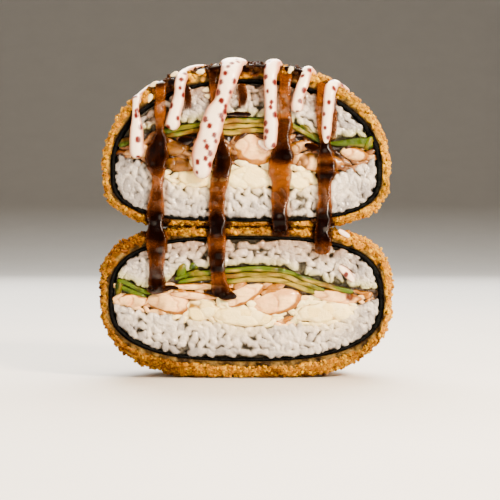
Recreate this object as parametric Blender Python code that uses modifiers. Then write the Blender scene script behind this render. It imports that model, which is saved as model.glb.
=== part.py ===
"""A sushi burger: a breaded rice disc, cut in half, its halves stacked with the cut faces to the front.

Each half is a crumb crust round a sheet of nori, and inside it two layers of rice with avocado slices,
prawns and cream cheese between them. White sauce and dark sauce run down over the cut faces.

Metres, +Z up. The cut faces look along -Y. The origin is the middle of the flat spot it rests on.
"""

import math
import random

import bmesh
import bpy
from mathutils import Matrix, Vector, noise
from mathutils.bvhtree import BVHTree

MM = 0.001

# Overall sizes. The disc is 98 mm across, and the stack 106 mm high.
CUT_TO_ORIGIN = 17.0 * MM
GAP = 0.35 * MM
NORI_THICKNESS = 0.8 * MM
NORI_SET_BACK = 0.3 * MM
# Points closer than this are one point, and points this near the cut lie in it.
WELD = 0.001 * MM
ON_CUT = 0.01 * MM
# Heights above and below everything, and how far cutters and pieces reach, from front to back.
SKY = 200.0 * MM
DEPTHS = (-30.0 * MM, 70.0 * MM)
PIECE_BACK = 60.0 * MM

# One half: a superellipse quarter above its widest height (belly) and one below it.
LOWER_HALF = {
    "radius": 49.5 * MM,
    "floor": -1.0 * MM,
    "belly": 25.4 * MM,
    "crown": 51.2 * MM,
    "floor_power": 2.5,
    "crown_power": 3.3,
}
UPPER_HALF = {
    "radius": 48.9 * MM,
    "floor": 50.3 * MM,
    "belly": 70.0 * MM,
    "crown": 105.6 * MM,
    "floor_power": 3.6,
    "crown_power": 2.1,
}
# The room inside each crust.
LOWER_ROOM = {
    "radius": 46.0 * MM,
    "floor": 5.6 * MM,
    "belly": 25.4 * MM,
    "crown": 47.4 * MM,
    "floor_power": 2.6,
    "crown_power": 3.0,
}
UPPER_ROOM = {
    "radius": 45.4 * MM,
    "floor": 52.3 * MM,
    "belly": 70.0 * MM,
    "crown": 99.9 * MM,
    "floor_power": 3.2,
    "crown_power": 2.15,
}
# The lowest and highest that each half reaches: pressed flat by the floor and by each other.
LOWER_FLATS = (0.0, 50.5 * MM)
UPPER_FLATS = (50.9 * MM, SKY)

# The knife drags the crust's edge inwards: how far below, beside and above, and how deep it reaches.
LOWER_ROLL = {"floor": 3.4 * MM, "side": 1.4 * MM, "crown": 1.4 * MM}
UPPER_ROLL = {"floor": 0.8 * MM, "side": 1.4 * MM, "crown": 2.8 * MM}
ROLL_DEPTH = 8.0 * MM
# The underside sags behind the cut, in full from this far back.
BACK_SAG, SAG_FROM = 2.8 * MM, 24.7 * MM

CRUST_STEPS, CRUST_RINGS = 30, 17
ROOM_STEPS, ROOM_RINGS = 9, 14
# The crust's crags: coarse ones, fine ones as shares of them, and how much of both the cut edge has.
CRAG_HEIGHT, CRAG_SPACING = 0.8 * MM, 3.6 * MM
FINE_HEIGHT, FINE_SPACING = 0.6, 0.45
CUT_CRAGS = 0.45
SHARP_ANGLE = math.radians(40)

# Edges of the rice, as points (x, z) in millimetres on the cut face.
LOWER_RICE_CEILING = [(-50, 34.5), (-43, 33.8), (-31, 29.6), (-22, 35.2), (-6, 37.0), (10, 37.5),
                      (20, 34.4), (30, 31.2), (40, 29.8), (50, 29.5)]
LOWER_RICE_TOP = [(-50, 26), (-43, 23.2), (-30, 20.2), (-16, 18.4), (0, 16.2), (16, 17.0),
                  (30, 17.6), (38, 23.0), (50, 27.0)]
UPPER_RICE_CEILING = [(-50, 80), (-42, 80.6), (-34, 82.2), (-26, 84), (-10, 86.6), (2, 87.4),
                      (14, 86.2), (24, 80.8), (30, 79.6), (38, 80.6), (50, 80)]
UPPER_RICE_TOP = [(-50, 74.5), (-41, 73.2), (-32, 69.4), (-24, 63.8), (0, 63.0), (18, 62.6),
                  (27, 65.8), (36, 69.0), (42, 72.2), (50, 74)]
RICE_SET_BACK = 2.3 * MM

# Avocado slices lie under the upper rice: reach along x, which layer down, thickness at each end.
SLICE = 1.45
LOWER_AVOCADO = [(-43.2, -31.6, 0, SLICE, SLICE), (-42.8, -33.4, 1, SLICE, SLICE),
                 (-24.0, 36.0, 0, SLICE, SLICE), (-23.0, 27.0, 1, SLICE, SLICE),
                 (-8.5, 25.0, 2, SLICE, SLICE)]
UPPER_AVOCADO = [(-43.2, -37.0, 0, 3.0, SLICE), (-30.0, 26.0, 0, SLICE, SLICE),
                 (-28.0, 13.0, 1, SLICE, SLICE), (-13.0, 10.0, 2, SLICE, SLICE),
                 (27.6, 42.6, 0, SLICE, 3.9)]

# Prawns and cheese, as they are cut: middle (x, z), half length, half height, tilt in degrees.
LOWER_PRAWNS = [(-38.1, 25.9, 4.6, 2.1, 0), (-25.5, 24.6, 6.8, 3.2, -10), (-18.0, 27.7, 7.6, 1.2, -4),
                (-15.4, 30.5, 10.4, 1.1, 0), (-0.8, 27.6, 7.2, 2.8, 28), (10.7, 25.3, 8.0, 4.0, 14),
                (30.2, 27.2, 7.9, 2.1, -8)]
UPPER_PRAWNS = [(-34.6, 76.0, 4.4, 2.2, -12), (-23.6, 77.0, 5.0, 2.6, 14), (-22.4, 71.4, 4.8, 2.4, -10),
                (-9.0, 75.2, 4.2, 3.4, 30), (2.6, 76.2, 6.6, 4.9, -10), (17.6, 77.3, 4.4, 1.9, 20),
                (24.8, 72.1, 7.6, 3.3, -6), (36.4, 75.0, 4.6, 2.0, -14)]
LOWER_CHEESE = [(-15.2, 22.6, 5.2, 3.2, 4), (-1.2, 20.4, 8.8, 3.1, -3), (26.8, 21.9, 9.0, 3.4, 4)]
UPPER_CHEESE = [(-16.6, 66.6, 6.4, 2.7, 0), (1.4, 66.9, 7.4, 3.8, 3), (18.4, 66.2, 5.2, 2.9, 0)]
PRAWN_UNEVENNESS, CHEESE_UNEVENNESS = 0.05, 0.14
PIECE_POINTS = 10
PIECE_BEVEL = 0.7 * MM
# Fronts of the pieces, behind the cut: prawns and cheese vary, slices lie a little deeper.
PIECE_SET_BACK, PIECE_SPREAD = 0.2 * MM, 0.4 * MM
SLICE_SET_BACK = 0.5 * MM
SLICE_STEP = 5.0

# A rice grain is 6 mm long, a sesame seed 3.2 mm: half sizes along, across and through.
GRAIN = (3.1 * MM, 1.45 * MM, 1.5 * MM)
GRAIN_SPACING = (6.6 * MM, 3.4 * MM)
GRAIN_STRAY = (0.9 * MM, 0.6 * MM)
GRAIN_LEAN, GRAIN_NOD = 0.5, 0.2
GRAIN_SPREAD = 0.35 * MM
TIP_ROOM = 0.7 * MM
SEED = (1.7 * MM, 1.05 * MM, 0.7 * MM)
SEED_COUNT = 12
SEED_LIFT = 0.3 * MM
SEEDS_ACROSS, SEEDS_BACK = (-32.0 * MM, 26.0 * MM), (2.5 * MM, 13.0 * MM)

# Runs of sauce: first the points (x, y, half width) that lie on top of the crust, then the points
# (x, z, half width) that hang in front of the cut face, all in millimetres.
WHITE_RUNS = [
    ([(-29.0, 5.0, 1.1), (-32.5, 3.4, 1.2), (-36.0, 1.6, 1.4)],
     [(-36.4, 93.0, 1.4), (-36.7, 89.0, 1.2), (-36.4, 84.0, 2.0), (-36.4, 77.0, 2.5), (-36.2, 74.3, 1.4)]),
    ([(-13.2, 6.0, 1.2), (-17.4, 4.6, 1.6), (-20.6, 2.0, 1.9)],
     [(-21.8, 98.6, 1.9), (-22.4, 93.0, 1.9), (-24.0, 86.4, 2.2), (-24.2, 83.8, 1.2)]),
    ([(-3.0, 10.0, 2.2), (-3.6, 6.0, 4.0), (-4.4, 2.0, 4.2)],
     [(-5.6, 100.4, 3.2), (-8.0, 92.5, 2.7), (-10.0, 88.0, 3.5), (-12.2, 81.0, 3.6), (-14.2, 75.0, 3.8),
      (-14.6, 69.6, 3.2), (-14.4, 67.2, 1.7)]),
    ([(9.8, 7.6, 1.8), (9.4, 4.8, 2.8), (8.8, 2.0, 2.8)],
     [(8.2, 100.4, 2.2), (8.2, 91.0, 2.1), (8.2, 83.0, 2.2), (8.0, 79.0, 2.1), (8.0, 77.0, 1.1)]),
    ([(23.0, 5.6, 1.5), (21.6, 3.6, 2.0), (20.2, 1.4, 2.0)],
     [(18.6, 97.0, 1.8), (17.4, 93.4, 1.8), (17.0, 91.2, 1.9), (17.0, 89.4, 1.1)]),
    ([(34.6, 6.4, 1.3), (32.0, 3.8, 1.9), (29.4, 1.6, 2.0)],
     [(27.8, 94.6, 1.9), (27.0, 87.0, 1.9), (26.6, 82.0, 1.6), (26.6, 78.6, 0.7)]),
]
UPPER_DARK_RUNS = [
    ([(-29.4, 2.4, 1.8)],
     [(-29.2, 94.0, 1.8), (-29.4, 84.0, 2.2), (-29.8, 76.0, 4.2), (-29.6, 70.6, 3.0), (-29.6, 63.0, 2.2),
      (-29.8, 52.3, 3.0)]),
    ([(-9.2, 2.4, 2.4)],
     [(-9.6, 99.0, 2.6), (-9.8, 80.0, 2.8), (-9.6, 70.0, 3.6), (-9.6, 60.0, 2.7), (-9.8, 52.3, 3.2)]),
    ([(13.4, 2.4, 2.0)],
     [(13.2, 98.4, 2.0), (13.0, 84.0, 2.6), (12.4, 74.0, 3.6), (12.0, 64.0, 3.0), (11.8, 52.3, 2.7)]),
    ([(25.6, 2.4, 1.5)],
     [(25.2, 95.0, 1.6), (25.4, 80.0, 2.0), (26.0, 70.0, 3.0), (26.0, 62.0, 2.2), (26.0, 52.3, 3.0)]),
]
LOWER_DARK_RUNS = [
    [(-29.4, 44.6, 3.2), (-29.4, 34.0, 2.8), (-28.4, 27.6, 3.2), (-28.0, 26.0, 1.6)],
    [(-10.4, 45.4, 3.2), (-10.4, 36.0, 2.8), (-9.4, 30.0, 2.8), (-8.6, 27.0, 1.4)],
    [(24.0, 45.6, 2.8), (24.0, 42.6, 2.4), (24.0, 41.4, 1.2)],
]
# Where a dark run enters the crust at the bottom of the upper half and at the top of the lower one.
UPPER_RUN_FOOT = (1.0 * MM, 51.5 * MM)
LOWER_RUN_HEAD = (0.8 * MM, 49.0 * MM)
WHITE_FLATNESS = 0.62
WHITE_THICKEST = 1.7 * MM
DARK_THICKNESS = 0.5 * MM
DARK_TAPER = 0.8
RUN_SIDES = 6
FRONT = Vector((0, -1, 0))
DOWN = Vector((0, 0, -1))


def clear_scene():
    for old in list(bpy.data.objects):
        bpy.data.objects.remove(old)


def new_collection(name):
    collection = bpy.data.collections.new(name)
    bpy.context.scene.collection.children.link(collection)
    return collection


def new_material(name, colour, roughness):
    material = bpy.data.materials.new(name)
    material.use_nodes = True
    shader = material.node_tree.nodes["Principled BSDF"]
    shader.inputs["Base Color"].default_value = (*colour, 1.0)
    shader.inputs["Roughness"].default_value = roughness
    shader.inputs["Metallic"].default_value = 0.0
    return material


def object_from(name, bm, collection):
    """Turns a bmesh into a named object in the collection."""
    bmesh.ops.recalc_face_normals(bm, faces=bm.faces)
    mesh = bpy.data.meshes.new(name)
    bm.to_mesh(mesh)
    bm.free()
    made = bpy.data.objects.new(name, mesh)
    collection.objects.link(made)
    return made


def apply_modifiers(obj):
    """Replaces the object's mesh by what its modifiers make of it."""
    bpy.context.view_layer.update()
    graph = bpy.context.evaluated_depsgraph_get()
    baked = bpy.data.meshes.new_from_object(obj.evaluated_get(graph))
    obj.modifiers.clear()
    obj.data = baked


def boolean(obj, other, operation):
    """Cuts the object by another one, or to it, and removes the other."""
    modifier = obj.modifiers.new(operation, "BOOLEAN")
    modifier.operation = operation
    modifier.object = other
    apply_modifiers(obj)
    bpy.data.objects.remove(other)


def fuse(obj, extras):
    """Joins every object of a collection to this one by one Boolean union, and removes them."""
    modifier = obj.modifiers.new("fuse", "BOOLEAN")
    modifier.operation = "UNION"
    modifier.operand_type = "COLLECTION"
    modifier.collection = extras
    apply_modifiers(obj)
    for extra in list(extras.objects):
        bpy.data.objects.remove(extra)
    bpy.data.collections.remove(extras)
    keep_largest(obj)


def smooth_line(points, steps=4):
    """A curve through the points (Catmull-Rom), with this many steps between two of them."""
    ends = [points[0], *points, points[-1]]
    line = []
    for a, b, c, d in zip(ends, ends[1:], ends[2:], ends[3:]):
        for step in range(steps):
            t = step / steps
            line.append(tuple(
                0.5 * (2 * q + (r - p) * t + (2 * p - 5 * q + 4 * r - s) * t * t
                       + (3 * q - p - 3 * r + s) * t ** 3)
                for p, q, r, s in zip(a, b, c, d)
            ))
    return [*line, tuple(points[-1])]


def height_on(line, x):
    """The height of an (x, z) line at this x."""
    for (x0, z0), (x1, z1) in zip(line, line[1:]):
        if x0 <= x < x1:
            return z0 + (z1 - z0) * (x - x0) / (x1 - x0)
    return line[0][1] if x < line[0][0] else line[-1][1]


def inset(half, distance):
    """The same outline, drawn in by a distance."""
    return {
        **half,
        "radius": half["radius"] - distance,
        "floor": half["floor"] + distance,
        "crown": half["crown"] - distance,
    }


def profile_point(half, angle):
    """(radius, height) of the outline at an angle from -90 degrees, the floor, to 90, the crown."""
    above = angle > 0
    power = half["crown_power"] if above else half["floor_power"]
    reach = (half["crown"] if above else half["floor"]) - half["belly"]
    across = 0.0 if abs(angle) == math.pi / 2 else math.cos(angle) ** (2 / power)
    return half["radius"] * across, half["belly"] + reach * abs(math.sin(angle)) ** (2 / power)


def radius_at(half, z):
    """The outline's radius at a height."""
    above = z > half["belly"]
    power = half["crown_power"] if above else half["floor_power"]
    share = (z - half["belly"]) / ((half["crown"] if above else half["floor"]) - half["belly"])
    return half["radius"] * max(0.0, 1 - share ** power) ** (1 / power) if share < 1 else 0.0


def turned_half(name, half, steps, rings, collection, front=0.0):
    """The outline turned half round the Z axis, closed by a flat face at y = front."""
    bm = bmesh.new()
    angles = [math.pi * (0.5 - i / rings) for i in range(rings + 1)]
    verts = [bm.verts.new((r, 0, z)) for r, z in (profile_point(half, a) for a in angles)]
    for pair in zip(verts, verts[1:]):
        bm.edges.new(pair)
    mesh = bpy.data.meshes.new(name)
    bm.to_mesh(mesh)
    turned = bpy.data.objects.new(name, mesh)
    collection.objects.link(turned)
    screw = turned.modifiers.new("turn", "SCREW")
    screw.angle = math.pi
    screw.steps = screw.render_steps = steps
    screw.use_merge_vertices = True
    screw.merge_threshold = WELD
    apply_modifiers(turned)
    bm.clear()
    bm.from_mesh(turned.data)
    if front:
        rim = [e for e in bm.edges if e.is_boundary]
        pulled = bmesh.ops.extrude_edge_only(bm, edges=rim)["geom"]
        moved = [v for v in pulled if isinstance(v, bmesh.types.BMVert)]
        bmesh.ops.translate(bm, verts=moved, vec=(0, front, 0))
    bmesh.ops.holes_fill(bm, edges=[e for e in bm.edges if e.is_boundary], sides=0)
    bmesh.ops.triangulate(bm, faces=[f for f in bm.faces if len(f.verts) > 4])
    bmesh.ops.recalc_face_normals(bm, faces=bm.faces)
    bm.to_mesh(turned.data)
    bm.free()
    return turned


def roll_at(roll, half, z):
    """How far the crust's edge is dragged in at this height."""
    above = z > half["belly"]
    reach = (half["crown"] if above else half["floor"]) - half["belly"]
    share = min(1.0, abs((z - half["belly"]) / reach)) ** 3
    end = roll["crown"] if above else roll["floor"]
    return roll["side"] + (end - roll["side"]) * share


def crumble(crust, half, roll, flats):
    """Rolls the edge in, sags the back of the floor, roughens the outside and presses the flats."""
    bm = bmesh.new()
    bm.from_mesh(crust.data)
    bm.normal_update()
    tallness = (half["crown"] - half["belly"]) / half["radius"]
    moves = []
    for vert in bm.verts:
        place = vert.co
        on_cut = abs(place.y) < ON_CUT
        outward = Vector(vert.normal)
        if on_cut:
            outward = Vector((place.x, 0, (place.z - half["belly"]) / tallness)).normalized()
        nearness = max(0.0, 1 - place.y / ROLL_DEPTH) ** 2
        crag = noise.noise(place / CRAG_SPACING)
        crag += FINE_HEIGHT * noise.noise(place / (FINE_SPACING * CRAG_SPACING))
        height = CRAG_HEIGHT * crag * (CUT_CRAGS if on_cut else 1.0)
        moved = place + outward * (height - roll_at(roll, half, place.z) * nearness)
        if on_cut:
            moved.y = 0.0
        below = max(0.0, (half["belly"] - place.z) / (half["belly"] - half["floor"]))
        moved.z -= BACK_SAG * below ** 2 * min(1.0, place.y / SAG_FROM)
        moved.z = min(max(moved.z, flats[0]), flats[1])
        moves.append((vert, moved))
    for vert, moved in moves:
        vert.co = moved
    bm.to_mesh(crust.data)
    bm.free()


def prism(name, outline, front, back, collection):
    """A flat outline of (x, z) millimetres, carried back from y = front to y = back."""
    curve = bpy.data.curves.new(name, "CURVE")
    curve.dimensions = "2D"
    curve.fill_mode = "BOTH"
    curve.extrude = (back - front) / 2
    spline = curve.splines.new("POLY")
    spline.points.add(len(outline) - 1)
    for point, (x, z) in zip(spline.points, outline):
        point.co = (x * MM, z * MM, 0, 1)
    spline.use_cyclic_u = True
    flat = bpy.data.objects.new(name + "_outline", curve)
    collection.objects.link(flat)
    bpy.context.view_layer.update()
    graph = bpy.context.evaluated_depsgraph_get()
    mesh = bpy.data.meshes.new_from_object(flat.evaluated_get(graph))
    bpy.data.objects.remove(flat)
    bm = bmesh.new()
    bm.from_mesh(mesh)
    bmesh.ops.remove_doubles(bm, verts=bm.verts, dist=WELD)
    # The curve lies flat in XY: it is stood up, so that its height runs along Z.
    stand = Matrix.Translation((0, (front + back) / 2, 0)) @ Matrix.Rotation(math.pi / 2, 4, "X")
    bmesh.ops.transform(bm, matrix=stand, verts=bm.verts)
    return object_from(name, bm, collection)


def fit_inside(piece, room):
    """Trims a piece to the space inside the nori."""
    boundary = turned_half("boundary", inset(room, 2 * GAP + NORI_THICKNESS), ROOM_STEPS, ROOM_RINGS,
                           piece.users_collection[0], front=DEPTHS[0])
    boolean(piece, boundary, "INTERSECT")


def carve(piece, taken):
    """Cuts away what lies within a gap of the pieces already there, and keeps the largest body left."""
    for outline in taken:
        cutter = prism("cutter", outline, *DEPTHS, piece.users_collection[0])
        boolean(piece, cutter, "DIFFERENCE")
    keep_largest(piece)


def keep_largest(piece):
    """Drops all but the largest of the object's separate bodies."""
    bm = bmesh.new()
    bm.from_mesh(piece.data)
    bodies, seen = [], set()
    for start in bm.faces:
        if start in seen:
            continue
        body, waiting = [], [start]
        seen.add(start)
        while waiting:
            face = waiting.pop()
            body.append(face)
            for near in (f for e in face.edges for f in e.link_faces if f not in seen):
                seen.add(near)
                waiting.append(near)
        bodies.append(body)
    bodies.sort(key=lambda body: sum(f.calc_area() for f in body))
    bmesh.ops.delete(bm, geom=[f for body in bodies[:-1] for f in body], context="FACES")
    bm.to_mesh(piece.data)
    bm.free()


def make_crust(name, half, room, roll, flats, collection):
    crust = turned_half(name, half, CRUST_STEPS, CRUST_RINGS, collection)
    crumble(crust, half, roll, flats)
    hollow = turned_half("hollow", room, ROOM_STEPS, ROOM_RINGS, collection, front=DEPTHS[0])
    boolean(crust, hollow, "DIFFERENCE")
    return crust


def make_nori(name, room, collection):
    """The sheet inside the crust: two turned outlines, one cut from the other."""
    nori = turned_half(name, inset(room, GAP), ROOM_STEPS, ROOM_RINGS, collection)
    hollow = turned_half("hollow", inset(room, GAP + NORI_THICKNESS), ROOM_STEPS, ROOM_RINGS,
                         collection, front=DEPTHS[0])
    boolean(nori, hollow, "DIFFERENCE")
    for vert in nori.data.vertices:
        if vert.co.y < ON_CUT:
            vert.co.y = NORI_SET_BACK
    return nori


def make_ball(sizes, place, turn, collection):
    """A small rounded body of 20 faces, for a grain or a seed."""
    bm = bmesh.new()
    bmesh.ops.create_icosphere(bm, subdivisions=1, radius=1.0)
    matrix = Matrix.Translation(place) @ turn @ Matrix.Diagonal((*sizes, 1.0))
    bmesh.ops.transform(bm, matrix=matrix, verts=bm.verts)
    return object_from("ball", bm, collection)


def make_rice(name, edge, seam, above, room, taken, collection, draw):
    """A layer of rice: a core as far as the seam, with whole grains fused over the cut face to its edge."""
    side = 1 if above else -1
    seam_line = [(x, z + side * GAP / MM / 2) for x, z in smooth_line(seam)]
    far = SKY / MM if above else -SKY / MM
    outline = [*seam_line, (seam_line[-1][0], far), (seam_line[0][0], far)]
    rice = prism(name, outline, RICE_SET_BACK, PIECE_BACK, collection)
    fit_inside(rice, room)
    carve(rice, taken)
    grains = new_collection("grains")
    lay_grains(smooth_line(edge), above, inset(room, 2 * GAP + NORI_THICKNESS), grains, draw)
    fuse(rice, grains)
    return rice


def lay_grains(line, above, space, grains, draw):
    """Grains in staggered rows, each a little out of place, where they fit between edge and nori."""
    along, across = GRAIN_SPACING
    rows = int((space["crown"] - space["floor"]) / across)
    for row in range(rows):
        row_z = space["floor"] + (row + 0.7) * across
        count = int(2 * radius_at(space, row_z) / along)
        for i in range(count + 1):
            x = (i - count / 2 + 0.5 * (row % 2)) * along + draw.uniform(-1, 1) * GRAIN_STRAY[0]
            z = row_z + draw.uniform(-1, 1) * GRAIN_STRAY[1]
            lean = draw.uniform(-GRAIN_LEAN, GRAIN_LEAN)
            if grain_fits(x, z, lean, line, above, space):
                nod = draw.uniform(-GRAIN_NOD, GRAIN_NOD)
                turn = Matrix.Rotation(lean, 4, "Y") @ Matrix.Rotation(nod, 4, "Z")
                make_ball(GRAIN, (x, GRAIN[2] + draw.uniform(0.0, GRAIN_SPREAD), z), turn, grains)


def grain_fits(x, z, angle, line, above, space):
    """Whether a grain lies inside the layer: its middle by its own half width, its tips by a little."""
    for end, margin in ((-1, TIP_ROOM), (0, GRAIN[1] + 0.5 * TIP_ROOM), (1, TIP_ROOM)):
        tip_x = x + end * GRAIN[0] * math.cos(angle)
        tip_z = z - end * GRAIN[0] * math.sin(angle)
        edge = height_on(line, tip_x / MM) * MM
        room_left = tip_z - edge if above else edge - tip_z
        if room_left < margin or not space["floor"] + margin < tip_z < space["crown"] - margin:
            return False
        inside = min(radius_at(space, tip_z + d) for d in (-margin, 0, margin))
        if abs(tip_x) > inside - margin:
            return False
    return True


def slice_outline(spec, ceiling, grow=0.0):
    """An avocado slice's outline, following the underside of the upper rice, grown by some millimetres."""
    start, end, layer, thick_start, thick_end = spec
    line = smooth_line(ceiling)
    steps = max(4, int((end - start) / SLICE_STEP))
    upper, lower = [], []
    for i in range(steps + 1):
        share = i / steps
        x = start - grow + (end - start + 2 * grow) * share
        top = height_on(line, x) - GAP / MM - layer * (SLICE + GAP / MM)
        thickness = thick_start + (thick_end - thick_start) * share ** 2
        upper.append((x, top + grow))
        lower.append((x, top - thickness - grow))
    return [*upper, *reversed(lower)]


def make_slice(name, outline, room, taken, collection):
    piece = prism(name, outline, SLICE_SET_BACK, PIECE_BACK, collection)
    fit_inside(piece, room)
    carve(piece, taken)
    return piece


def chunk_outline(spec, unevenness, grow=0.0):
    """The outline of a prawn or a lump of cheese: a tilted, uneven oval, grown by some millimetres."""
    x, z, half_length, half_height, tilt = spec
    turn = math.radians(tilt)
    outline = []
    for i, share in enumerate(unevenness):
        angle = 2 * math.pi * i / len(unevenness)
        along = (half_length * share + grow) * math.cos(angle)
        up = (half_height * share + grow) * math.sin(angle)
        outline.append((x + along * math.cos(turn) - up * math.sin(turn),
                        z + along * math.sin(turn) + up * math.cos(turn)))
    return outline


def make_chunk(name, outline, room, taken, collection, draw):
    """A prawn or a lump of cheese, its cut edge rounded."""
    front = PIECE_SET_BACK + draw.uniform(0.0, PIECE_SPREAD)
    piece = prism(name, outline, front, PIECE_BACK, collection)
    bm = bmesh.new()
    bm.from_mesh(piece.data)
    bmesh.ops.dissolve_limit(bm, angle_limit=0.01, verts=bm.verts, edges=bm.edges)
    rim = [e for e in bm.edges if all(abs(v.co.y - front) < ON_CUT for v in e.verts)]
    bmesh.ops.bevel(bm, geom=rim, offset=PIECE_BEVEL, segments=1, affect="EDGES")
    bmesh.ops.triangulate(bm, faces=[f for f in bm.faces if len(f.verts) > 4])
    bm.to_mesh(piece.data)
    bm.free()
    fit_inside(piece, room)
    carve(piece, taken)
    return piece


def hang(points, thickness_of):
    """Run points in front of the cut face, as (place, half width, half thickness, outward)."""
    hung = []
    for x, z, half_width in points:
        thickness = thickness_of(half_width * MM)
        place = Vector((x * MM, -(GAP + thickness), z * MM))
        hung.append((place, half_width * MM, thickness, FRONT))
    return hung


def drape(points, surface, thickness_of):
    """Run points on top of the crust, half sunk in."""
    draped = []
    for x, y, half_width in points:
        thickness = thickness_of(half_width * MM)
        place, normal, _, _ = surface.ray_cast(Vector((x * MM, y * MM, SKY)), DOWN)
        draped.append((place, half_width * MM, thickness, normal))
    return draped


def make_run(stations, collection):
    """A run of sauce: flattened rings carried along its stations, closed at both ends."""
    bm = bmesh.new()
    rings = []
    for i, (place, width, thickness, outward) in enumerate(stations):
        ahead = stations[min(i + 1, len(stations) - 1)][0] - stations[max(i - 1, 0)][0]
        side = ahead.cross(outward).normalized()
        out = side.cross(ahead).normalized()
        ring = []
        for k in range(RUN_SIDES):
            angle = 2 * math.pi * k / RUN_SIDES
            around = side * width * math.cos(angle) + out * thickness * math.sin(angle)
            ring.append(bm.verts.new(place + around))
        rings.append(ring)
    for ring, following in zip(rings, rings[1:]):
        for k in range(RUN_SIDES):
            after = (k + 1) % RUN_SIDES
            bm.faces.new((ring[k], ring[after], following[after], following[k]))
    bm.faces.new(rings[0])
    bm.faces.new(rings[-1])
    bmesh.ops.triangulate(bm, faces=[f for f in bm.faces if len(f.verts) > 4])
    return object_from("run", bm, collection)


def white_thickness(width):
    return min(width * WHITE_FLATNESS, WHITE_THICKEST)


def dark_thickness(width):
    return DARK_THICKNESS


def tapered_end(point, place):
    """Where a dark run goes into the crust, beside its nearest point and narrower."""
    x, _, half_width = point
    y, z = place
    return Vector((x * MM, y, z)), half_width * MM * DARK_TAPER, DARK_THICKNESS * DARK_TAPER, FRONT


def surface_of(obj):
    """A tree of the object's faces, to find the height of a point on it."""
    bm = bmesh.new()
    bm.from_mesh(obj.data)
    tree = BVHTree.FromBMesh(bm)
    bm.free()
    return tree


def scatter_seeds(surface, collection, draw):
    """Sesame seeds laid on the upper crust near the cut."""
    left, right = SEEDS_ACROSS
    for i in range(SEED_COUNT):
        x = left + (right - left) * (i + draw.uniform(0.2, 0.8)) / SEED_COUNT
        y = draw.uniform(*SEEDS_BACK)
        place, normal, _, _ = surface.ray_cast(Vector((x, y, SKY)), DOWN)
        turn = normal.to_track_quat("Z", "Y").to_matrix().to_4x4()
        turn = turn @ Matrix.Rotation(draw.uniform(0, math.pi), 4, "Z")
        make_ball(SEED, place + normal * SEED_LIFT, turn, collection)


def top_upper_crust(crust, draw):
    """Fuses the seeds and both sauces to the upper crust."""
    surface = surface_of(crust)
    toppings = new_collection("upper_toppings")
    scatter_seeds(surface, toppings, draw)
    for over, down in WHITE_RUNS:
        make_run(drape(over, surface, white_thickness) + hang(down, white_thickness), toppings)
    for over, down in UPPER_DARK_RUNS:
        stations = drape(over, surface, dark_thickness) + hang(down, dark_thickness)
        make_run([*stations, tapered_end(down[-1], UPPER_RUN_FOOT)], toppings)
    fuse(crust, toppings)


def drip_on_lower_crust(crust):
    """Fuses the sauce that has run down from the upper half to the lower crust."""
    drips = new_collection("lower_drips")
    for down in LOWER_DARK_RUNS:
        make_run([tapered_end(down[0], LOWER_RUN_HEAD), *hang(down, dark_thickness)], drips)
    fuse(crust, drips)


def make_half(tag, half, room, roll, flats, rice_edges, fillings, collection, draw):
    """All pieces of one half except the sauces, as {node name: object}."""
    ceiling, top = rice_edges
    made = {
        "crust_" + tag: make_crust("crust_" + tag, half, room, roll, flats, collection),
        "nori_" + tag: make_nori("nori_" + tag, room, collection),
    }
    slices, prawns, cheeses = fillings
    taken = []
    kinds = ("prawn", prawns, PRAWN_UNEVENNESS), ("cheese", cheeses, CHEESE_UNEVENNESS)
    for kind, specs, most in kinds:
        for i, spec in enumerate(specs, 1):
            name = f"{kind}_{tag}_{i}"
            unevenness = [1 - most * draw.random() for _ in range(PIECE_POINTS)]
            outline = chunk_outline(spec, unevenness)
            made[name] = make_chunk(name, outline, room, taken, collection, draw)
            taken.append(chunk_outline(spec, unevenness, GAP / MM))
    for i, spec in enumerate(slices, 1):
        name = f"avocado_{tag}_{i}"
        made[name] = make_slice(name, slice_outline(spec, ceiling), room, taken, collection)
    taken += [slice_outline(spec, ceiling, GAP / MM) for spec in slices]
    for name, edge, above in (("rice_over_", ceiling, True), ("rice_under_", top, False)):
        made[name + tag] = make_rice(name + tag, edge, ceiling, above, room, taken, collection, draw)
    return made


def finish_pieces(pieces, looks, holder):
    """Gives each piece its material and smooth shading, and hangs it on the holder."""
    for name, piece in pieces.items():
        piece.data.materials.clear()
        piece.data.materials.append(looks[name.split("_")[0]])
        piece.data.shade_smooth()
        piece.data.set_sharp_from_angle(angle=SHARP_ANGLE)
        piece.parent = holder


def main():
    clear_scene()
    draw = random.Random(7)
    burger = new_collection("sushi_burger")
    holder = bpy.data.objects.new("cut_plane", None)
    holder.location = (0, -CUT_TO_ORIGIN, 0)
    burger.objects.link(holder)
    looks = {
        "crust": new_material("fried_crumb", (0.62, 0.33, 0.08), 0.6),
        "nori": new_material("nori", (0.01, 0.012, 0.01), 0.45),
        "rice": new_material("cooked_rice", (0.80, 0.77, 0.70), 0.35),
        "avocado": new_material("avocado", (0.50, 0.52, 0.13), 0.45),
        "prawn": new_material("cooked_prawn", (0.82, 0.45, 0.30), 0.35),
        "cheese": new_material("cream_cheese", (0.88, 0.80, 0.60), 0.5),
    }
    pieces = make_half("lower", LOWER_HALF, LOWER_ROOM, LOWER_ROLL, LOWER_FLATS,
                       (LOWER_RICE_CEILING, LOWER_RICE_TOP),
                       (LOWER_AVOCADO, LOWER_PRAWNS, LOWER_CHEESE), burger, draw)
    pieces.update(make_half("upper", UPPER_HALF, UPPER_ROOM, UPPER_ROLL, UPPER_FLATS,
                            (UPPER_RICE_CEILING, UPPER_RICE_TOP),
                            (UPPER_AVOCADO, UPPER_PRAWNS, UPPER_CHEESE), burger, draw))
    top_upper_crust(pieces["crust_upper"], draw)
    drip_on_lower_crust(pieces["crust_lower"])
    finish_pieces(pieces, looks, holder)


main()
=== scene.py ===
import math

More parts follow.
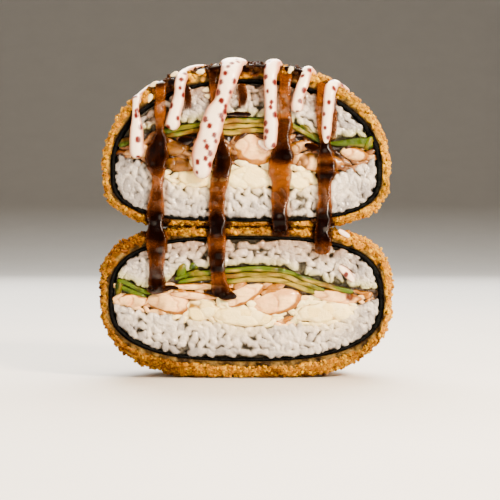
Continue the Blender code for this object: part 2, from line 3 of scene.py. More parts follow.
import bmesh
import bpy
import numpy as np
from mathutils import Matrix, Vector


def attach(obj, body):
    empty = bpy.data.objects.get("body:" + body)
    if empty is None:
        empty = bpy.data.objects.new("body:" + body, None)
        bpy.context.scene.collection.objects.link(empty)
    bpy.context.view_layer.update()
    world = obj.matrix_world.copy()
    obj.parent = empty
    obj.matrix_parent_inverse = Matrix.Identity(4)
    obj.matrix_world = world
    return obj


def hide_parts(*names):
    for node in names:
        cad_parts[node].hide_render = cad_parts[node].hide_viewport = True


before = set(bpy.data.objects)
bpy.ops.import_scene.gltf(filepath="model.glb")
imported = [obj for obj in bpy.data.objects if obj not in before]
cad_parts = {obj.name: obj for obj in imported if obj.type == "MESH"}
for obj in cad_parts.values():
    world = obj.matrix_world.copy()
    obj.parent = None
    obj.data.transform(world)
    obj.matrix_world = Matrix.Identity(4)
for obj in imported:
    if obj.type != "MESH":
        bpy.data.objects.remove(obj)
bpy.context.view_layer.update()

# A sushi burger cut in two: crumb crust, nori, rice, avocado, prawns, cream cheese and two sauces.
# Shapes are worked out in mm as (x, depth behind the cut, height) and turned to metres at the end.
mm = 0.001
cutPlane = -17.0


# Colour, blending and noise

def linear(code):
    # an sRGB hex colour turned to linear light
    values = np.array([int(code[i:i + 2], 16) for i in (1, 3, 5)]) / 255
    return np.where(values <= 0.04045, values / 12.92, ((values + 0.055) / 1.055) ** 2.4)


def between(first, second, share):
    # straight blend of two colours, point by point
    share = np.asarray(share)[..., None]
    return first + (second - first) * share


def step(value, low, high):
    # 0 below low, 1 above high, and an S curve between
    share = np.clip((value - low) / (high - low), 0, 1)
    return share * share * (3 - 2 * share)


def cellNumber(cells, seed):
    # a fixed number from 0 to 1 for each whole-numbered cell
    mixed = (cells[..., 0] * 73856093) ^ (cells[..., 1] * 19349663)
    mixed = (mixed ^ (cells[..., 2] * 83492791) ^ (seed * 2654435761)) & 0xFFFFFFFF
    mixed = (mixed ^ (mixed >> 15)) * 2246822519 & 0xFFFFFFFF
    mixed = (mixed ^ (mixed >> 13)) * 3266489917 & 0xFFFFFFFF
    return ((mixed ^ (mixed >> 16)) & 0xFFFFFF) / 0xFFFFFF


def softNoise(points, size, seed=0):
    # value noise, -1 to 1: fixed numbers at the corners of cells of this size, smoothly joined
    spots = points / size
    base = np.floor(spots).astype(np.int64)
    part = spots - base
    part = part * part * (3 - 2 * part)
    total = 0
    for corner in np.ndindex(2, 2, 2):
        weight = np.prod(np.where(corner, part, 1 - part), axis=-1)
        total = total + weight * cellNumber(base + np.array(corner), seed)
    return 2 * total - 1


def lumps(points, size, seed=0):
    # cell noise: height from 0 in the cracks to 1 on a lump, and a fixed number for that lump
    spots = points / size
    base = np.floor(spots).astype(np.int64)
    nearest = np.full(points.shape[:-1], 9.0)
    label = np.zeros(points.shape[:-1])
    for move in np.ndindex(3, 3, 3):
        cell = base + np.array(move) - 1
        heart = cell + np.stack([cellNumber(cell, seed + k) for k in (1, 2, 3)], axis=-1)
        away = np.linalg.norm(spots - heart, axis=-1)
        label = np.where(away < nearest, cellNumber(cell, seed + 4), label)
        nearest = np.minimum(nearest, away)
    return 1 - np.clip(nearest, 0, 1) ** 2, label


# Curves and skins

def curveThrough(stations, spacing):
    # a smooth curve (Catmull-Rom) through rows of numbers whose first three are a place
    rows = np.array(stations, dtype=float)
    rows = np.vstack([2 * rows[0] - rows[1], rows, 2 * rows[-1] - rows[-2]])
    parts = []
    for a, b, c, d in zip(rows, rows[1:], rows[2:], rows[3:]):
        count = max(2, int(np.linalg.norm(c[:3] - b[:3]) / spacing))
        t = (np.arange(count) / count)[:, None]
        parts.append(0.5 * (2 * b + (c - a) * t + (2 * a - 5 * b + 4 * c - d) * t ** 2
                            + (3 * b - a - 3 * c + d) * t ** 3))
    return np.vstack([*parts, rows[-2:-1]])


def edgeLine(points):
    # the same curve for an edge of the filling, given and read as (x, height)
    flat = [(x, 0, z) for x, z in points]
    ends = [flat[0], *flat, flat[-1]]
    line = curveThrough(ends, 1.0)[:, [0, 2]]
    return line[np.argsort(line[:, 0], kind="stable")]


def heightOn(line, x):
    # an edge's height over x
    return np.interp(x, line[:, 0], line[:, 1])


def skinOf(rings):
    # skins of (shapes, rows, around, 3), each closed by a pole at both ends, as points, quads, triangles
    shapes, rows, around, _ = rings.shape
    poles = rings[:, [0, -1]].mean(axis=2)
    points = np.concatenate([poles[:, :1], rings.reshape(shapes, -1, 3), poles[:, 1:]], axis=1)
    ring = np.arange(around)
    after = (ring + 1) % around
    start = 1 + around * np.arange(rows)[:, None]
    quads = np.stack([start[:-1] + ring, start[:-1] + after, start[1:] + after, start[1:] + ring], axis=-1)
    last = 1 + around * (rows - 1)
    fans = np.concatenate([np.stack([0 * ring, 1 + after, 1 + ring], axis=-1),
                           np.stack([0 * ring + last + around, last + ring, last + after], axis=-1)])
    offset = np.arange(shapes)[:, None, None] * (rows * around + 2)
    return points.reshape(-1, 3), (quads.reshape(-1, 4) + offset).reshape(-1, 4), \
        (fans + offset).reshape(-1, 3)


def onSkin(values):
    # numbers given ring by ring, in the order that skinOf gives the points
    flat = values.reshape(values.shape[0], -1, *values.shape[3:])
    poles = values[:, [0, -1]].mean(axis=2)
    return np.concatenate([poles[:, :1], flat, poles[:, 1:]], axis=1).reshape(-1, *values.shape[3:])


def makePiece(name, skin, material, paint, smooth=True):
    # one mesh object from points in mm and faces, painted with a colour (and a share) at each point
    points, *faceSets = skin
    place = (points + (0, cutPlane, 0)) * mm
    triangles = np.concatenate([f[:, [0, k, k + 1]] for f in faceSets for k in range(1, f.shape[1] - 1)])
    a, b, c = (place[triangles[:, k]] for k in range(3))
    if np.einsum("ij,ij->", a, np.cross(b, c)) < 0:      # a skin that is inside out is turned
        faceSets = [f[:, ::-1] for f in faceSets]
    mesh = bpy.data.meshes.new(name)
    mesh.vertices.add(len(place))
    mesh.vertices.foreach_set("co", place.astype(np.float32).ravel())
    corners = np.concatenate([f.ravel() for f in faceSets])
    sizes = np.concatenate([np.full(len(f), f.shape[1]) for f in faceSets])
    mesh.loops.add(len(corners))
    mesh.loops.foreach_set("vertex_index", corners.astype(np.int32))
    mesh.polygons.add(len(sizes))
    mesh.polygons.foreach_set("loop_start", (np.cumsum(sizes) - sizes).astype(np.int32))
    mesh.polygons.foreach_set("loop_total", sizes.astype(np.int32))
    mesh.update(calc_edges=True)
    colours = np.ones((len(place), 4), dtype=np.float32)
    colours[:, :paint.shape[1]] = paint
    mesh.attributes.new("paint", "FLOAT_COLOR", "POINT").data.foreach_set("color", colours.ravel())
    mesh.polygons.foreach_set("use_smooth", np.full(len(sizes), smooth))
    mesh.materials.append(material)
    piece = bpy.data.objects.new(name, mesh)
    bpy.context.scene.collection.objects.link(piece)
    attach(piece, "root")
    return piece


# The two halves. Each is an outline, |across/radius|^power + |up/reach|^power = 1, turned round the
# upright axis and cut through the middle; the powers differ above and below its widest height, the belly.

lowerHalf = dict(radius=49.5, floor=-1.0, belly=25.4, crown=51.2, floorPower=2.5, crownPower=3.55)
upperHalf = dict(radius=48.9, floor=50.3, belly=70.0, crown=106.8, floorPower=3.2, crownPower=2.1)
lowerRoom = dict(radius=46.0, floor=5.6, belly=25.4, crown=47.4, floorPower=2.6, crownPower=3.0)
upperRoom = dict(radius=45.4, floor=52.3, belly=70.0, crown=99.9, floorPower=3.2, crownPower=2.15)
squash = 0.6      # how much flatter than round the rays from a belly's middle are dealt out
lowerFlats = (0.0, 50.75)      # heights that each half is pressed flat at, below and above
upperFlats = (50.8, 200.0)
lowerRoll = {"floor": 3.4, "side": 1.4, "crown": 1.4, "deep": 8.0}
upperRoll = {"floor": 0.8, "side": 1.2, "crown": 1.9, "deep": 8.0}


def inset(half, distance):
    # the same outline, brought in by this distance
    return {**half, "radius": half["radius"] - distance, "floor": half["floor"] + distance,
            "crown": half["crown"] - distance}


def sidesOf(half, up):
    # reach and power on this side of the belly
    reach = np.where(up > 0, half["crown"] - half["belly"], half["belly"] - half["floor"])
    return reach, np.where(up > 0, half["crownPower"], half["floorPower"])


def halfSurface(half, around, back):
    # from the belly's middle a ray goes out, turned round the cut by one angle and backwards by the
    # other, as far as the outline lets it; also gives the outward direction there, the outline's gradient
    x = np.cos(around) * np.cos(back)
    deep = np.sin(back)
    up = squash * np.sin(around) * np.cos(back)
    reach, power = sidesOf(half, up)
    across = np.hypot(x, deep)
    far = ((across / half["radius"]) ** power + (np.abs(up) / reach) ** power) ** (-1 / power)
    x, deep, up, across = x * far, deep * far, up * far, across * far
    push = (across / half["radius"]) ** (power - 1) / half["radius"] / np.maximum(across, 1e-9)
    lift = np.sign(up) * (np.abs(up) / reach) ** (power - 1) / reach
    outward = np.stack([push * x, push * deep, lift], axis=-1)
    outward /= np.linalg.norm(outward, axis=-1, keepdims=True)
    return np.stack([x, deep, half["belly"] + up], axis=-1), outward


def roomEdge(half, x, deep, above):
    # the outline's height over a place, above or below the belly
    reach = half["crown"] - half["belly"] if above else half["floor"] - half["belly"]
    power = half["crownPower"] if above else half["floorPower"]
    share = np.clip(np.hypot(x, deep) / half["radius"], 0, 1)
    return half["belly"] + reach * (1 - share ** power) ** (1 / power)


def roomWidth(half, z):
    # the outline's radius at a height
    up = z - half["belly"]
    reach, power = sidesOf(half, up)
    return half["radius"] * np.clip(1 - (np.abs(up) / reach) ** power, 0, 1) ** (1 / power)


def backOf(half, x, z):
    # how far back from the cut the outline lies at (x, height)
    return np.sqrt(np.clip(roomWidth(half, z) ** 2 - x ** 2, 0, None))


# Nodes of a material

def addNode(tree, kind, links=None, **settings):
    # one node with its settings; each socket gets a number or another node's output
    made = tree.nodes.new("ShaderNode" + kind)
    for key, value in settings.items():
        setattr(made, key, value)
    for socket, value in (links or {}).items():
        if isinstance(value, bpy.types.NodeSocket):
            tree.links.new(value, made.inputs[socket])
        else:
            made.inputs[socket].default_value = value
    return made


def startMaterial(name, **sockets):
    # a material with its shader's own sockets set
    material = bpy.data.materials.new(name)
    material.use_nodes = True
    tree = material.node_tree
    shader = tree.nodes["Principled BSDF"]
    for socket, value in sockets.items():
        shader.inputs[socket.replace("_", " ")].default_value = value
    return material, tree, shader


def grainOf(tree, size, detail, rough, spread=None, fromLow=0.3, fromHigh=0.7):
    # noise on Object coordinates with cells of this many mm, its middle part spread over (low, high)
    where = addNode(tree, "TexCoord").outputs["Object"]
    noise = addNode(tree, "TexNoise", {"Vector": where, "Scale": 1 / (size * mm), "Detail": detail,
                                       "Roughness": rough}).outputs["Fac"]
    if spread is None:
        return noise
    return addNode(tree, "MapRange", {"Value": noise, "From Min": fromLow, "From Max": fromHigh,
                                      "To Min": spread[0], "To Max": spread[1]}).outputs["Result"]


def shaded(tree, colour, factor):
    # the colour times a grey factor
    return addNode(tree, "Mix", {"Factor": 1.0, "A": colour, "B": factor},
                   data_type="RGBA", blend_type="MULTIPLY").outputs["Result"]


def makeMaterial(name, shade, gloss, relief, height, film=None, **sockets):
    # the painted colour times the shade noise, roughness from the gloss noise, and a surface raised by
    # the relief noise times a height in mm; a film lets light through and its coat comes and goes
    material, tree, shader = startMaterial(name, **sockets)
    paint = addNode(tree, "Attribute", attribute_name="paint")
    raised = {"Height": grainOf(tree, *relief), "Distance": height * mm, "Strength": 1.0}
    links = {"Base Color": shaded(tree, paint.outputs["Color"], grainOf(tree, *shade)),
             "Roughness": grainOf(tree, *gloss),
             "Normal": addNode(tree, "Bump", raised).outputs["Normal"]}
    if film:
        links["Alpha"] = paint.outputs["Alpha"]
        links["Coat Weight"] = grainOf(tree, *film)
    for socket, value in links.items():
        tree.links.new(value, shader.inputs[socket])
    return material


# Each noise is given as (cell size in mm, detail, roughness of the noise, (lowest, highest)).

# fried breadcrumb over batter: dry, oily on the crumbs, rough at every scale
crumbLook = makeMaterial("friedBreadcrumb", shade=(0.45, 4.0, 0.7, (0.72, 1.28)),
                         gloss=(0.9, 3.0, 0.6, (0.38, 0.72)), relief=(0.45, 4.0, 0.7), height=0.35,
                         IOR=1.46, Specular_IOR_Level=0.04, Coat_Weight=0.03, Coat_Roughness=0.22,
                         Subsurface_Weight=0.1, Subsurface_Scale=0.5 * mm,
                         Subsurface_Radius=(1.0, 0.5, 0.1))

# a damp seaweed sheet: near black with a green cast, wrinkled, with small wet highlights
noriLook = makeMaterial("dampNori", shade=(1.1, 4.0, 0.7, (0.3, 1.6)), gloss=(0.8, 3.0, 0.6, (0.35, 0.75)),
                        relief=(0.7, 4.0, 0.6), height=0.5, IOR=1.35, Specular_IOR_Level=0.1)

# boiled short-grain rice: starchy and moist, light sinks in and comes out soft
riceLook = makeMaterial("cookedRice", shade=(1.6, 2.0, 0.6, (0.93, 1.05)),
                        gloss=(0.7, 3.0, 0.6, (0.22, 0.42)), relief=(0.55, 3.0, 0.6), height=0.42,
                        IOR=1.40, Coat_Weight=0.7, Coat_Roughness=0.08,
                        Subsurface_Weight=0.35, Subsurface_Scale=0.8 * mm,
                        Subsurface_Radius=(1.0, 0.84, 0.62))

# ripe avocado flesh, cut with a knife: satin, faintly streaked, damp on its face
avocadoLook = makeMaterial("ripeAvocado", shade=(1.2, 4.0, 0.6, (0.86, 1.12)),
                           gloss=(0.8, 3.0, 0.6, (0.3, 0.5)), relief=(0.6, 4.0, 0.6), height=0.2,
                           IOR=1.43, Specular_IOR_Level=0.14, Coat_Weight=0.12, Coat_Roughness=0.16,
                           Subsurface_Weight=0.2, Subsurface_Scale=0.5 * mm,
                           Subsurface_Radius=(0.9, 1.0, 0.25))

# cooked prawn: firm fibres, wet outside, orange where the skin was
prawnLook = makeMaterial("cookedPrawn", shade=(0.9, 4.0, 0.6, (0.9, 1.08)),
                         gloss=(0.9, 3.0, 0.6, (0.2, 0.42)), relief=(0.5, 4.0, 0.6), height=0.15,
                         IOR=1.40, Specular_IOR_Level=0.2, Coat_Weight=0.35,
                         Coat_Roughness=0.08, Subsurface_Weight=0.2, Subsurface_Scale=0.4 * mm,
                         Subsurface_Radius=(1.0, 0.5, 0.3))

# cream cheese: ivory, curdy, almost matt
cheeseLook = makeMaterial("creamCheese", shade=(1.0, 4.0, 0.6, (0.93, 1.04)),
                          gloss=(0.7, 3.0, 0.6, (0.32, 0.55)), relief=(0.55, 4.0, 0.6), height=0.25,
                          IOR=1.42, Specular_IOR_Level=0.2, Subsurface_Weight=0.3,
                          Subsurface_Scale=1.0 * mm, Subsurface_Radius=(1.0, 0.85, 0.6))

# spiced mayonnaise: thick and smooth, warm white, with softened red pepper specks
whiteLook = makeMaterial("spicedMayonnaise", shade=(3.0, 2.0, 0.6, (0.96, 1.02)),
                         gloss=(1.5, 3.0, 0.6, (0.26, 0.36)), relief=(1.4, 2.0, 0.6), height=0.1,
                         IOR=1.45, Specular_IOR_Level=0.3, Coat_Weight=0.35, Coat_Roughness=0.12,
                         Subsurface_Weight=0.12, Subsurface_Scale=0.6 * mm,
                         Subsurface_Radius=(1.0, 0.7, 0.55))

# sweet soy glaze: a clear brown syrup, amber where thin, nearly black where it pools, mirror-wet
darkLook = makeMaterial("sweetSoyGlaze", shade=(1.8, 3.0, 0.6, (0.75, 1.25)),
                        gloss=(5.0, 1.5, 0.6, (0.06, 0.18)), relief=(2.2, 1.5, 0.6), height=0.08,
                        film=(6.0, 1.0, 0.6, (0.02, 0.6), 0.5, 0.62), IOR=1.44,
                        Specular_IOR_Level=0.06, Coat_Roughness=0.03)

# hulled sesame: oily, cream, a little darker at its tip
seedLook = makeMaterial("hulledSesame", shade=(0.8, 3.0, 0.6, (0.9, 1.08)), gloss=(0.6, 3.0, 0.6, (0.3, 0.5)),
                        relief=(0.5, 3.0, 0.6), height=0.08, IOR=1.46, Subsurface_Weight=0.2,
                        Subsurface_Scale=0.5 * mm, Subsurface_Radius=(1.0, 0.8, 0.5))
print("materials made")


# The crust

crust = {
    "around": 640, "backSteps": 128, "bandSteps": 12, "insideSteps": 8,
    "coarse": (0.5, 4.2), "crumb": (1.0, 1.7), "fine": (0.5, 0.8),   # heights and sizes, in mm
    "lowered": 0.6, "sag": (2.8, 24.7),
    "golden": linear("#AA7000"), "pale": linear("#DEAC00"), "toastedAndShaded": linear("#5E3400"),
    # the crack colour is painted shade between the crumbs, and the dark batter is partly painted shade
    "crackShade": linear("#241000"), "batter": linear("#7C612E"), "batterDarkAndShade": linear("#281A08"),
    "damp": linear("#4A1E00"), "soaked": linear("#1C0800"),
    # shares of toasting in patches, of painted shade low on the left, and of painted light on the upper
    # half's right
    "patchToast": 0.75, "leftShade": 0.75, "rightLight": 0.14,
    "soaks": [(-29.0, 99.6, 5.2), (-24.0, 102.0, 5.0), (-17.0, 104.4, 3.0), (-10.6, 104.6, 4.6),
              (-3.0, 105.2, 4.0), (3.0, 105.4, 4.8), (10.4, 104.6, 3.0), (16.8, 103.0, 4.2),
              (25.8, 97.4, 2.4), (-29.9, 51.6, 4.8), (-9.6, 51.6, 4.8), (11.6, 51.4, 4.4),
              (26.0, 51.2, 4.8), (-30.0, 48.4, 4.0), (-9.8, 48.6, 4.0), (25.6, 48.8, 4.0)],
}


def rollAt(roll, half, z):
    # how far the knife drags the edge inwards at this height
    up = z - half["belly"]
    reach, _ = sidesOf(half, up)
    share = np.clip(np.abs(up) / reach, 0, 1) ** 3
    end = np.where(up > 0, roll["crown"], roll["floor"])
    return roll["side"] + (end - roll["side"]) * share


def toastAndShadeOf(points):
    # how toasted the crumb is, in patches, and painted shade, more of it low on the left, where less light
    # falls
    patches = crust["patchToast"] * step(softNoise(points, 9.0, 41), -0.1, 0.9)
    # painted shade: darker low on the left, where less light falls
    left = crust["leftShade"] * step(-points[..., 0], 4.0, 44.0)
    return np.clip(patches + left * step(84.0 - points[..., 2], 0.0, 60.0) ** 0.5, 0, 1)


def paintedLightOf(points):
    # painted light: the crumb is paler on the upper half's right, where the light falls
    return crust["rightLight"] * step(points[..., 0], 0.0, 40.0) * step(points[..., 2], 46.0, 56.0)


def crumbPaint(points, height, label):
    # golden crumbs, each its own tone, toasted on some, with painted shade low on the left and in the cracks
    # between them, and painted light on the upper half's right
    colour = between(crust["golden"], crust["pale"], step(label, 0.55, 1.1))
    colour = between(colour, crust["toastedAndShaded"], np.clip(toastAndShadeOf(points) + 0.5 * step(label, 0.25, 0.0), 0, 1))
    # paler in patches, and painted light on the upper half's right
    pale = 0.4 * step(softNoise(points, 2.1, 43), 0.25, 0.8) + paintedLightOf(points)
    colour = between(colour, crust["pale"], pale)
    # painted shade in the cracks between the crumbs
    return between(crust["crackShade"], colour, step(height, 0.22, 0.66))


def soakOf(points):
    # how wet with sauce the crumb is: by distance from each spot where dark sauce crosses it
    far = [np.linalg.norm((points - (x, 0, z)) * (1, 0.6, 1), axis=-1) / size
           for x, z, size in crust["soaks"]]
    return step(np.min(far, axis=0) + 0.3 * softNoise(points, 1.6, 47), 1.15, 0.7)


def soakedPaint(colour, points):
    # crumb under dark sauce: red-brown where it is damp and nearly black where it is soaked
    soak = soakOf(points)
    damp = between(colour, crust["damp"], 0.8 * step(soak, 0.0, 0.5))
    return between(damp, crust["soaked"], 0.92 * step(soak, 0.3, 1.0))


def makeCrust(name, node, half, room, roll, flats, seed):
    # outside from its back pole to the cut, the torn band of batter, then the wall round the nori
    around = np.linspace(0, 2 * np.pi, crust["around"], endpoint=False)[None, :]
    share = np.linspace(1, 0, crust["backSteps"] + 1)[1:, None]
    back = np.pi / 2 * (0.5 * share + 0.5 * share ** 2)
    base, outward = halfSurface(half, around, back)
    grains, label = lumps(base, crust["crumb"][1], seed)
    small, smallLabel = lumps(base, crust["fine"][1], seed + 7)
    coarse = softNoise(base, crust["coarse"][1], seed + 3)
    depth, z = base[..., 1], base[..., 2]
    near = np.clip(1 - depth / roll["deep"], 0, 1) ** 2
    height = (crust["coarse"][0] * coarse + crust["crumb"][0] * (grains * (0.6 + 0.8 * label) - 0.6)
              + crust["fine"][0] * (small - 0.5))
    height = height * (0.6 + 0.4 * step(depth, 0, 2.5)) - rollAt(roll, half, z) * near - crust["lowered"]
    outside = base + outward * height[..., None]
    below = np.clip((half["belly"] - z) / (half["belly"] - half["floor"]), 0, 1)
    outside[..., 2] -= crust["sag"][0] * below ** 2 * np.clip(depth / crust["sag"][1], 0, 1)
    outside[..., 2] = np.clip(outside[..., 2], *flats)
    outside[-1, :, 1] = 0.3 + 0.3 * grains[-1]
    paint = crumbPaint(base, 0.65 * grains + 0.35 * small, 0.6 * label + 0.4 * smallLabel)
    paint = soakedPaint(paint, outside)

    inner, _ = halfSurface(room, around, np.zeros_like(around))
    across = (np.arange(1, crust["bandSteps"]) / crust["bandSteps"])[:, None, None]
    band = outside[-1:] + (inner - outside[-1:]) * across
    rough, _ = lumps(band, 1.1, seed + 11)
    band[..., 1] = 0.4 + 0.7 * softNoise(band, 1.5, seed + 13) + 1.0 * (0.5 - rough)
    lowShare = step(half["belly"] - band[..., 2], 0, 14) if half is lowerHalf else 0
    bare = step(across[..., 0] + 0.4 * softNoise(band, 1.6, seed + 17) + 0.38 * lowShare, 0.5, 0.8)
    wetAndShade = step(softNoise(band, 2.2, seed + 19), -0.6, 0.8)
    # the batter is darker in patches, and painted shade darkens it between its lumps
    batter = between(crust["batterDarkAndShade"], crust["batter"], wetAndShade * (0.5 + 0.5 * step(rough, 0.1, 0.7)))
    # painted shade on the batter next to the nori, less of it low on the lower half
    batter = between(batter, crust["batterDarkAndShade"], step(across[..., 0], 0.68, 0.95) * (0.85 - 0.4 * lowShare))
    golden = crumbPaint(band, rough, np.repeat(label[-1:], len(band), axis=0))
    bandPaint = soakedPaint(between(golden, batter, bare), band)

    inward = np.pi / 2 * np.linspace(0, 1, crust["insideSteps"], endpoint=False)[:, None]
    inside, _ = halfSurface(room, around, inward)
    inside[0, :, 1] = 0.7
    # painted shade: the wall round the nori is painted dark
    insidePaint = np.broadcast_to(crust["batterDarkAndShade"], inside.shape)
    skin = np.concatenate([outside, band, inside])
    paint = np.concatenate([paint, bandPaint, insidePaint])
    piece = makePiece(name, skinOf(skin[None]), crumbLook, onSkin(paint[None]))
    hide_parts(node)
    edge = len(band) // 2
    facing = np.broadcast_to(np.array([0.0, -1.0, 0.0]), band[:edge].shape)
    return piece, np.concatenate([outside, band[:edge]]), np.concatenate([outward, facing])


_, lowerOutside, lowerOutward = makeCrust("fried_crust_lower", "crust_lower", lowerHalf, lowerRoom,
                                          lowerRoll, lowerFlats, 100)
upperCrust, upperOutside, upperOutward = makeCrust("fried_crust_upper", "crust_upper", upperHalf, upperRoom,
                                                   upperRoll, upperFlats, 300)
print("crusts made")


# Loose crumbs on the crust: chips with twenty faces, each its own size, shape and shade

crumbs = {"count": 9600, "small": 0.26, "large": 0.8, "sunk": 0.25, "ragged": 0.3, "heap": (24.5, 101.8, 4.6)}


def chipShape():
    # the twelve corners and twenty faces of an icosahedron
    shape = bmesh.new()
    bmesh.ops.create_icosphere(shape, subdivisions=1, radius=1.0)
    corners = np.array([v.co[:] for v in shape.verts])
    faces = np.array([[v.index for v in f.verts] for f in shape.faces])
    shape.free()
    return corners, faces


def turnsFor(outward, draws):
    # for each outward direction, three axes turned by a random angle round it
    side = np.cross(outward, draws.normal(size=outward.shape))
    side /= np.linalg.norm(side, axis=-1, keepdims=True)
    return np.stack([side, np.cross(outward, side), outward], axis=-2)


def scatterCrumbs(name, grid, outward, flats, seed):
    # chips are dealt out by area over the crust, more of them small, and sunk by part of their height
    draws = np.random.default_rng(seed)
    wide = np.linalg.norm(np.roll(grid, -1, axis=1) - grid, axis=-1)
    tall = np.linalg.norm(np.diff(grid, axis=0, append=grid[-1:]), axis=-1)
    heapX, heapZ, heapSize = crumbs["heap"]
    heap = np.hypot(grid[..., 0] - heapX, grid[..., 2] - heapZ) < heapSize
    onBand = outward[..., 1] < -0.9
    chance = wide * tall * (1 + 1.2 * (grid[..., 1] < 12) + 3 * heap * (grid[..., 1] < 4) + 2 * onBand)
    chance = chance.ravel()
    chosen = draws.choice(len(chance), crumbs["count"], p=chance / chance.sum())
    middle, out = grid.reshape(-1, 3)[chosen], outward.reshape(-1, 3)[chosen]
    free = (middle[:, 2] > flats[0] + 0.5) & (middle[:, 2] < flats[1] - 0.3)
    middle, out = middle[free], out[free]
    size = crumbs["small"] + (crumbs["large"] - crumbs["small"]) * draws.random(len(middle)) ** 2.2
    sizes = size[:, None] * draws.uniform([0.8, 0.6, 0.5], [1.5, 1.1, 0.95], (len(middle), 3))
    corners, faces = chipShape()
    ragged = 1 + crumbs["ragged"] * draws.uniform(-1, 1, (len(middle), len(corners), 1))
    local = corners * ragged * sizes[:, None, :]
    lean = out + 0.5 * draws.normal(size=out.shape)
    lean /= np.linalg.norm(lean, axis=-1, keepdims=True)
    points = np.einsum("nck,nkd->ncd", local, turnsFor(lean, draws))
    points += (middle + out * (sizes[:, 2:] * (1 - 2 * crumbs["sunk"])))[:, None, :]
    points[..., 2] = np.clip(points[..., 2], *flats)
    points[..., 1] = np.maximum(points[..., 1], -0.8)
    shade = draws.random(len(middle))
    colour = between(crust["golden"], crust["pale"], step(shade, 0.5, 1.1))
    # toasting and painted shade as on the crust, and toasted chips at random
    toastAndShade = np.clip(0.85 * toastAndShadeOf(middle) + 0.7 * step(shade, 0.22, 0.0), 0, 1)
    colour = between(colour, crust["toastedAndShaded"], toastAndShade)
    # painted light on the upper half's right
    colour = between(colour, crust["pale"], paintedLightOf(middle))
    colour = soakedPaint(colour, middle)
    paint = np.repeat(colour, len(corners), axis=0)
    offset = np.arange(len(middle))[:, None, None] * len(corners)
    skin = (points.reshape(-1, 3), (faces + offset).reshape(-1, 3))
    makePiece(name, skin, crumbLook, paint, smooth=False)


scatterCrumbs("loose_crumbs_lower", lowerOutside, lowerOutward, lowerFlats, 5)
scatterCrumbs("loose_crumbs_upper", upperOutside, upperOutward, upperFlats, 6)
print("crumbs scattered")


# The nori

nori = {"around": 620, "backSteps": 18, "outer": 0.2, "inner": 0.6, "front": 0.5,
        "black": linear("#020202"), "green": linear("#050703")}


def makeNori(name, node, room, seed):
    # two turned outlines, one inside the other, joined by the sheet's cut edge; it waves a little
    around = np.linspace(0, 2 * np.pi, nori["around"], endpoint=False)[None, :]
    back = np.pi / 2 * np.linspace(1, 0, nori["backSteps"] + 1)[1:, None]
    outer, _ = halfSurface(inset(room, nori["outer"]), around, back)
    inner, innerOut = halfSurface(inset(room, nori["inner"]), around, back[::-1])
    side = step(np.abs(inner[..., 0]) / room["radius"], 0.35, 0.9)
    wave = 0.15 + side * (0.55 + 0.4 * softNoise(inner, 7.0, seed)) + 0.2 * softNoise(inner, 1.3, seed + 3)
    inner -= innerOut * wave[..., None]
    ragged = nori["front"] + 0.45 * softNoise(outer[-1:], 1.4, seed + 1)
    outer[-1, :, 1] = ragged[0]
    inner[0, :, 1] = ragged[0] + 0.1
    skin = np.concatenate([outer, inner])
    paint = between(nori["black"], nori["green"], step(softNoise(skin, 4.0, seed + 2), 0.2, 1))
    piece = makePiece(name, skinOf(skin[None]), noriLook, onSkin(paint[None]))
    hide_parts(node)


makeNori("nori_sheet_lower", "nori_lower", lowerRoom, 20)
makeNori("nori_sheet_upper", "nori_upper", upperRoom, 30)
print("nori made")


# What lies inside the nori: edges of the rice on the cut, as (x, height), and the space that all of it fills

lowerCeiling = edgeLine([(-50, 34.5), (-43, 33.8), (-31, 29.6), (-22, 35.2), (-6, 37.0), (10, 37.5),
                         (20, 34.4), (30, 31.2), (40, 29.8), (50, 29.5)])
lowerTop = edgeLine([(-50, 26), (-43, 23.2), (-30, 20.2), (-16, 18.4), (0, 16.2), (16, 17.0),
                     (30, 17.6), (38, 23.0), (50, 27.0)])
upperCeiling = edgeLine([(-50, 80), (-42, 80.6), (-34, 82.2), (-26, 84), (-10, 86.6), (2, 87.4),
                         (14, 86.2), (24, 80.8), (30, 79.6), (38, 80.6), (50, 80)])
upperTop = edgeLine([(-50, 74.5), (-41, 73.2), (-32, 69.4), (-24, 63.8), (0, 63.0), (18, 62.6),
                     (27, 65.8), (36, 69.0), (42, 72.2), (50, 74)])
lowerSpace = {**inset(lowerRoom, 1.6), "floor": lowerRoom["floor"] + 0.8, "crown": lowerRoom["crown"] - 1.1}
upperSpace = {**inset(upperRoom, 1.6), "floor": upperRoom["floor"] + 0.8, "crown": upperRoom["crown"] - 1.2}
fillings = {"lower": (lowerTop, lowerCeiling, lowerSpace), "upper": (upperTop, upperCeiling, upperSpace)}


def sectionLoop(across, deep, rear):
    # once round a section: up its front, back along its top, down its rear and forward underneath
    up = np.linspace(0, 1, across, endpoint=False)
    down = 1 - np.linspace(0, 1, rear, endpoint=False)
    far = np.linspace(0, 1, deep, endpoint=False)
    t = np.concatenate([up, np.ones(deep), down, np.zeros(deep)])
    s = np.concatenate([np.zeros(across), far, np.ones(rear), 1 - far])
    return t, s


def joinSkins(parts):
    # several skins made one: their faces are counted on from the points before them
    points, quads, triangles, start = [], [], [], 0
    for place, four, three in parts:
        points.append(place)
        quads.append(four + start)
        triangles.append(three + start)
        start += len(place)
    return np.concatenate(points), np.concatenate(quads), np.concatenate(triangles)


# Avocado slices: (start x, end x, layer down from the rice, thickness at each end, greenness), and
# bits: (x, z, half length, half height, lean in degrees, depth)

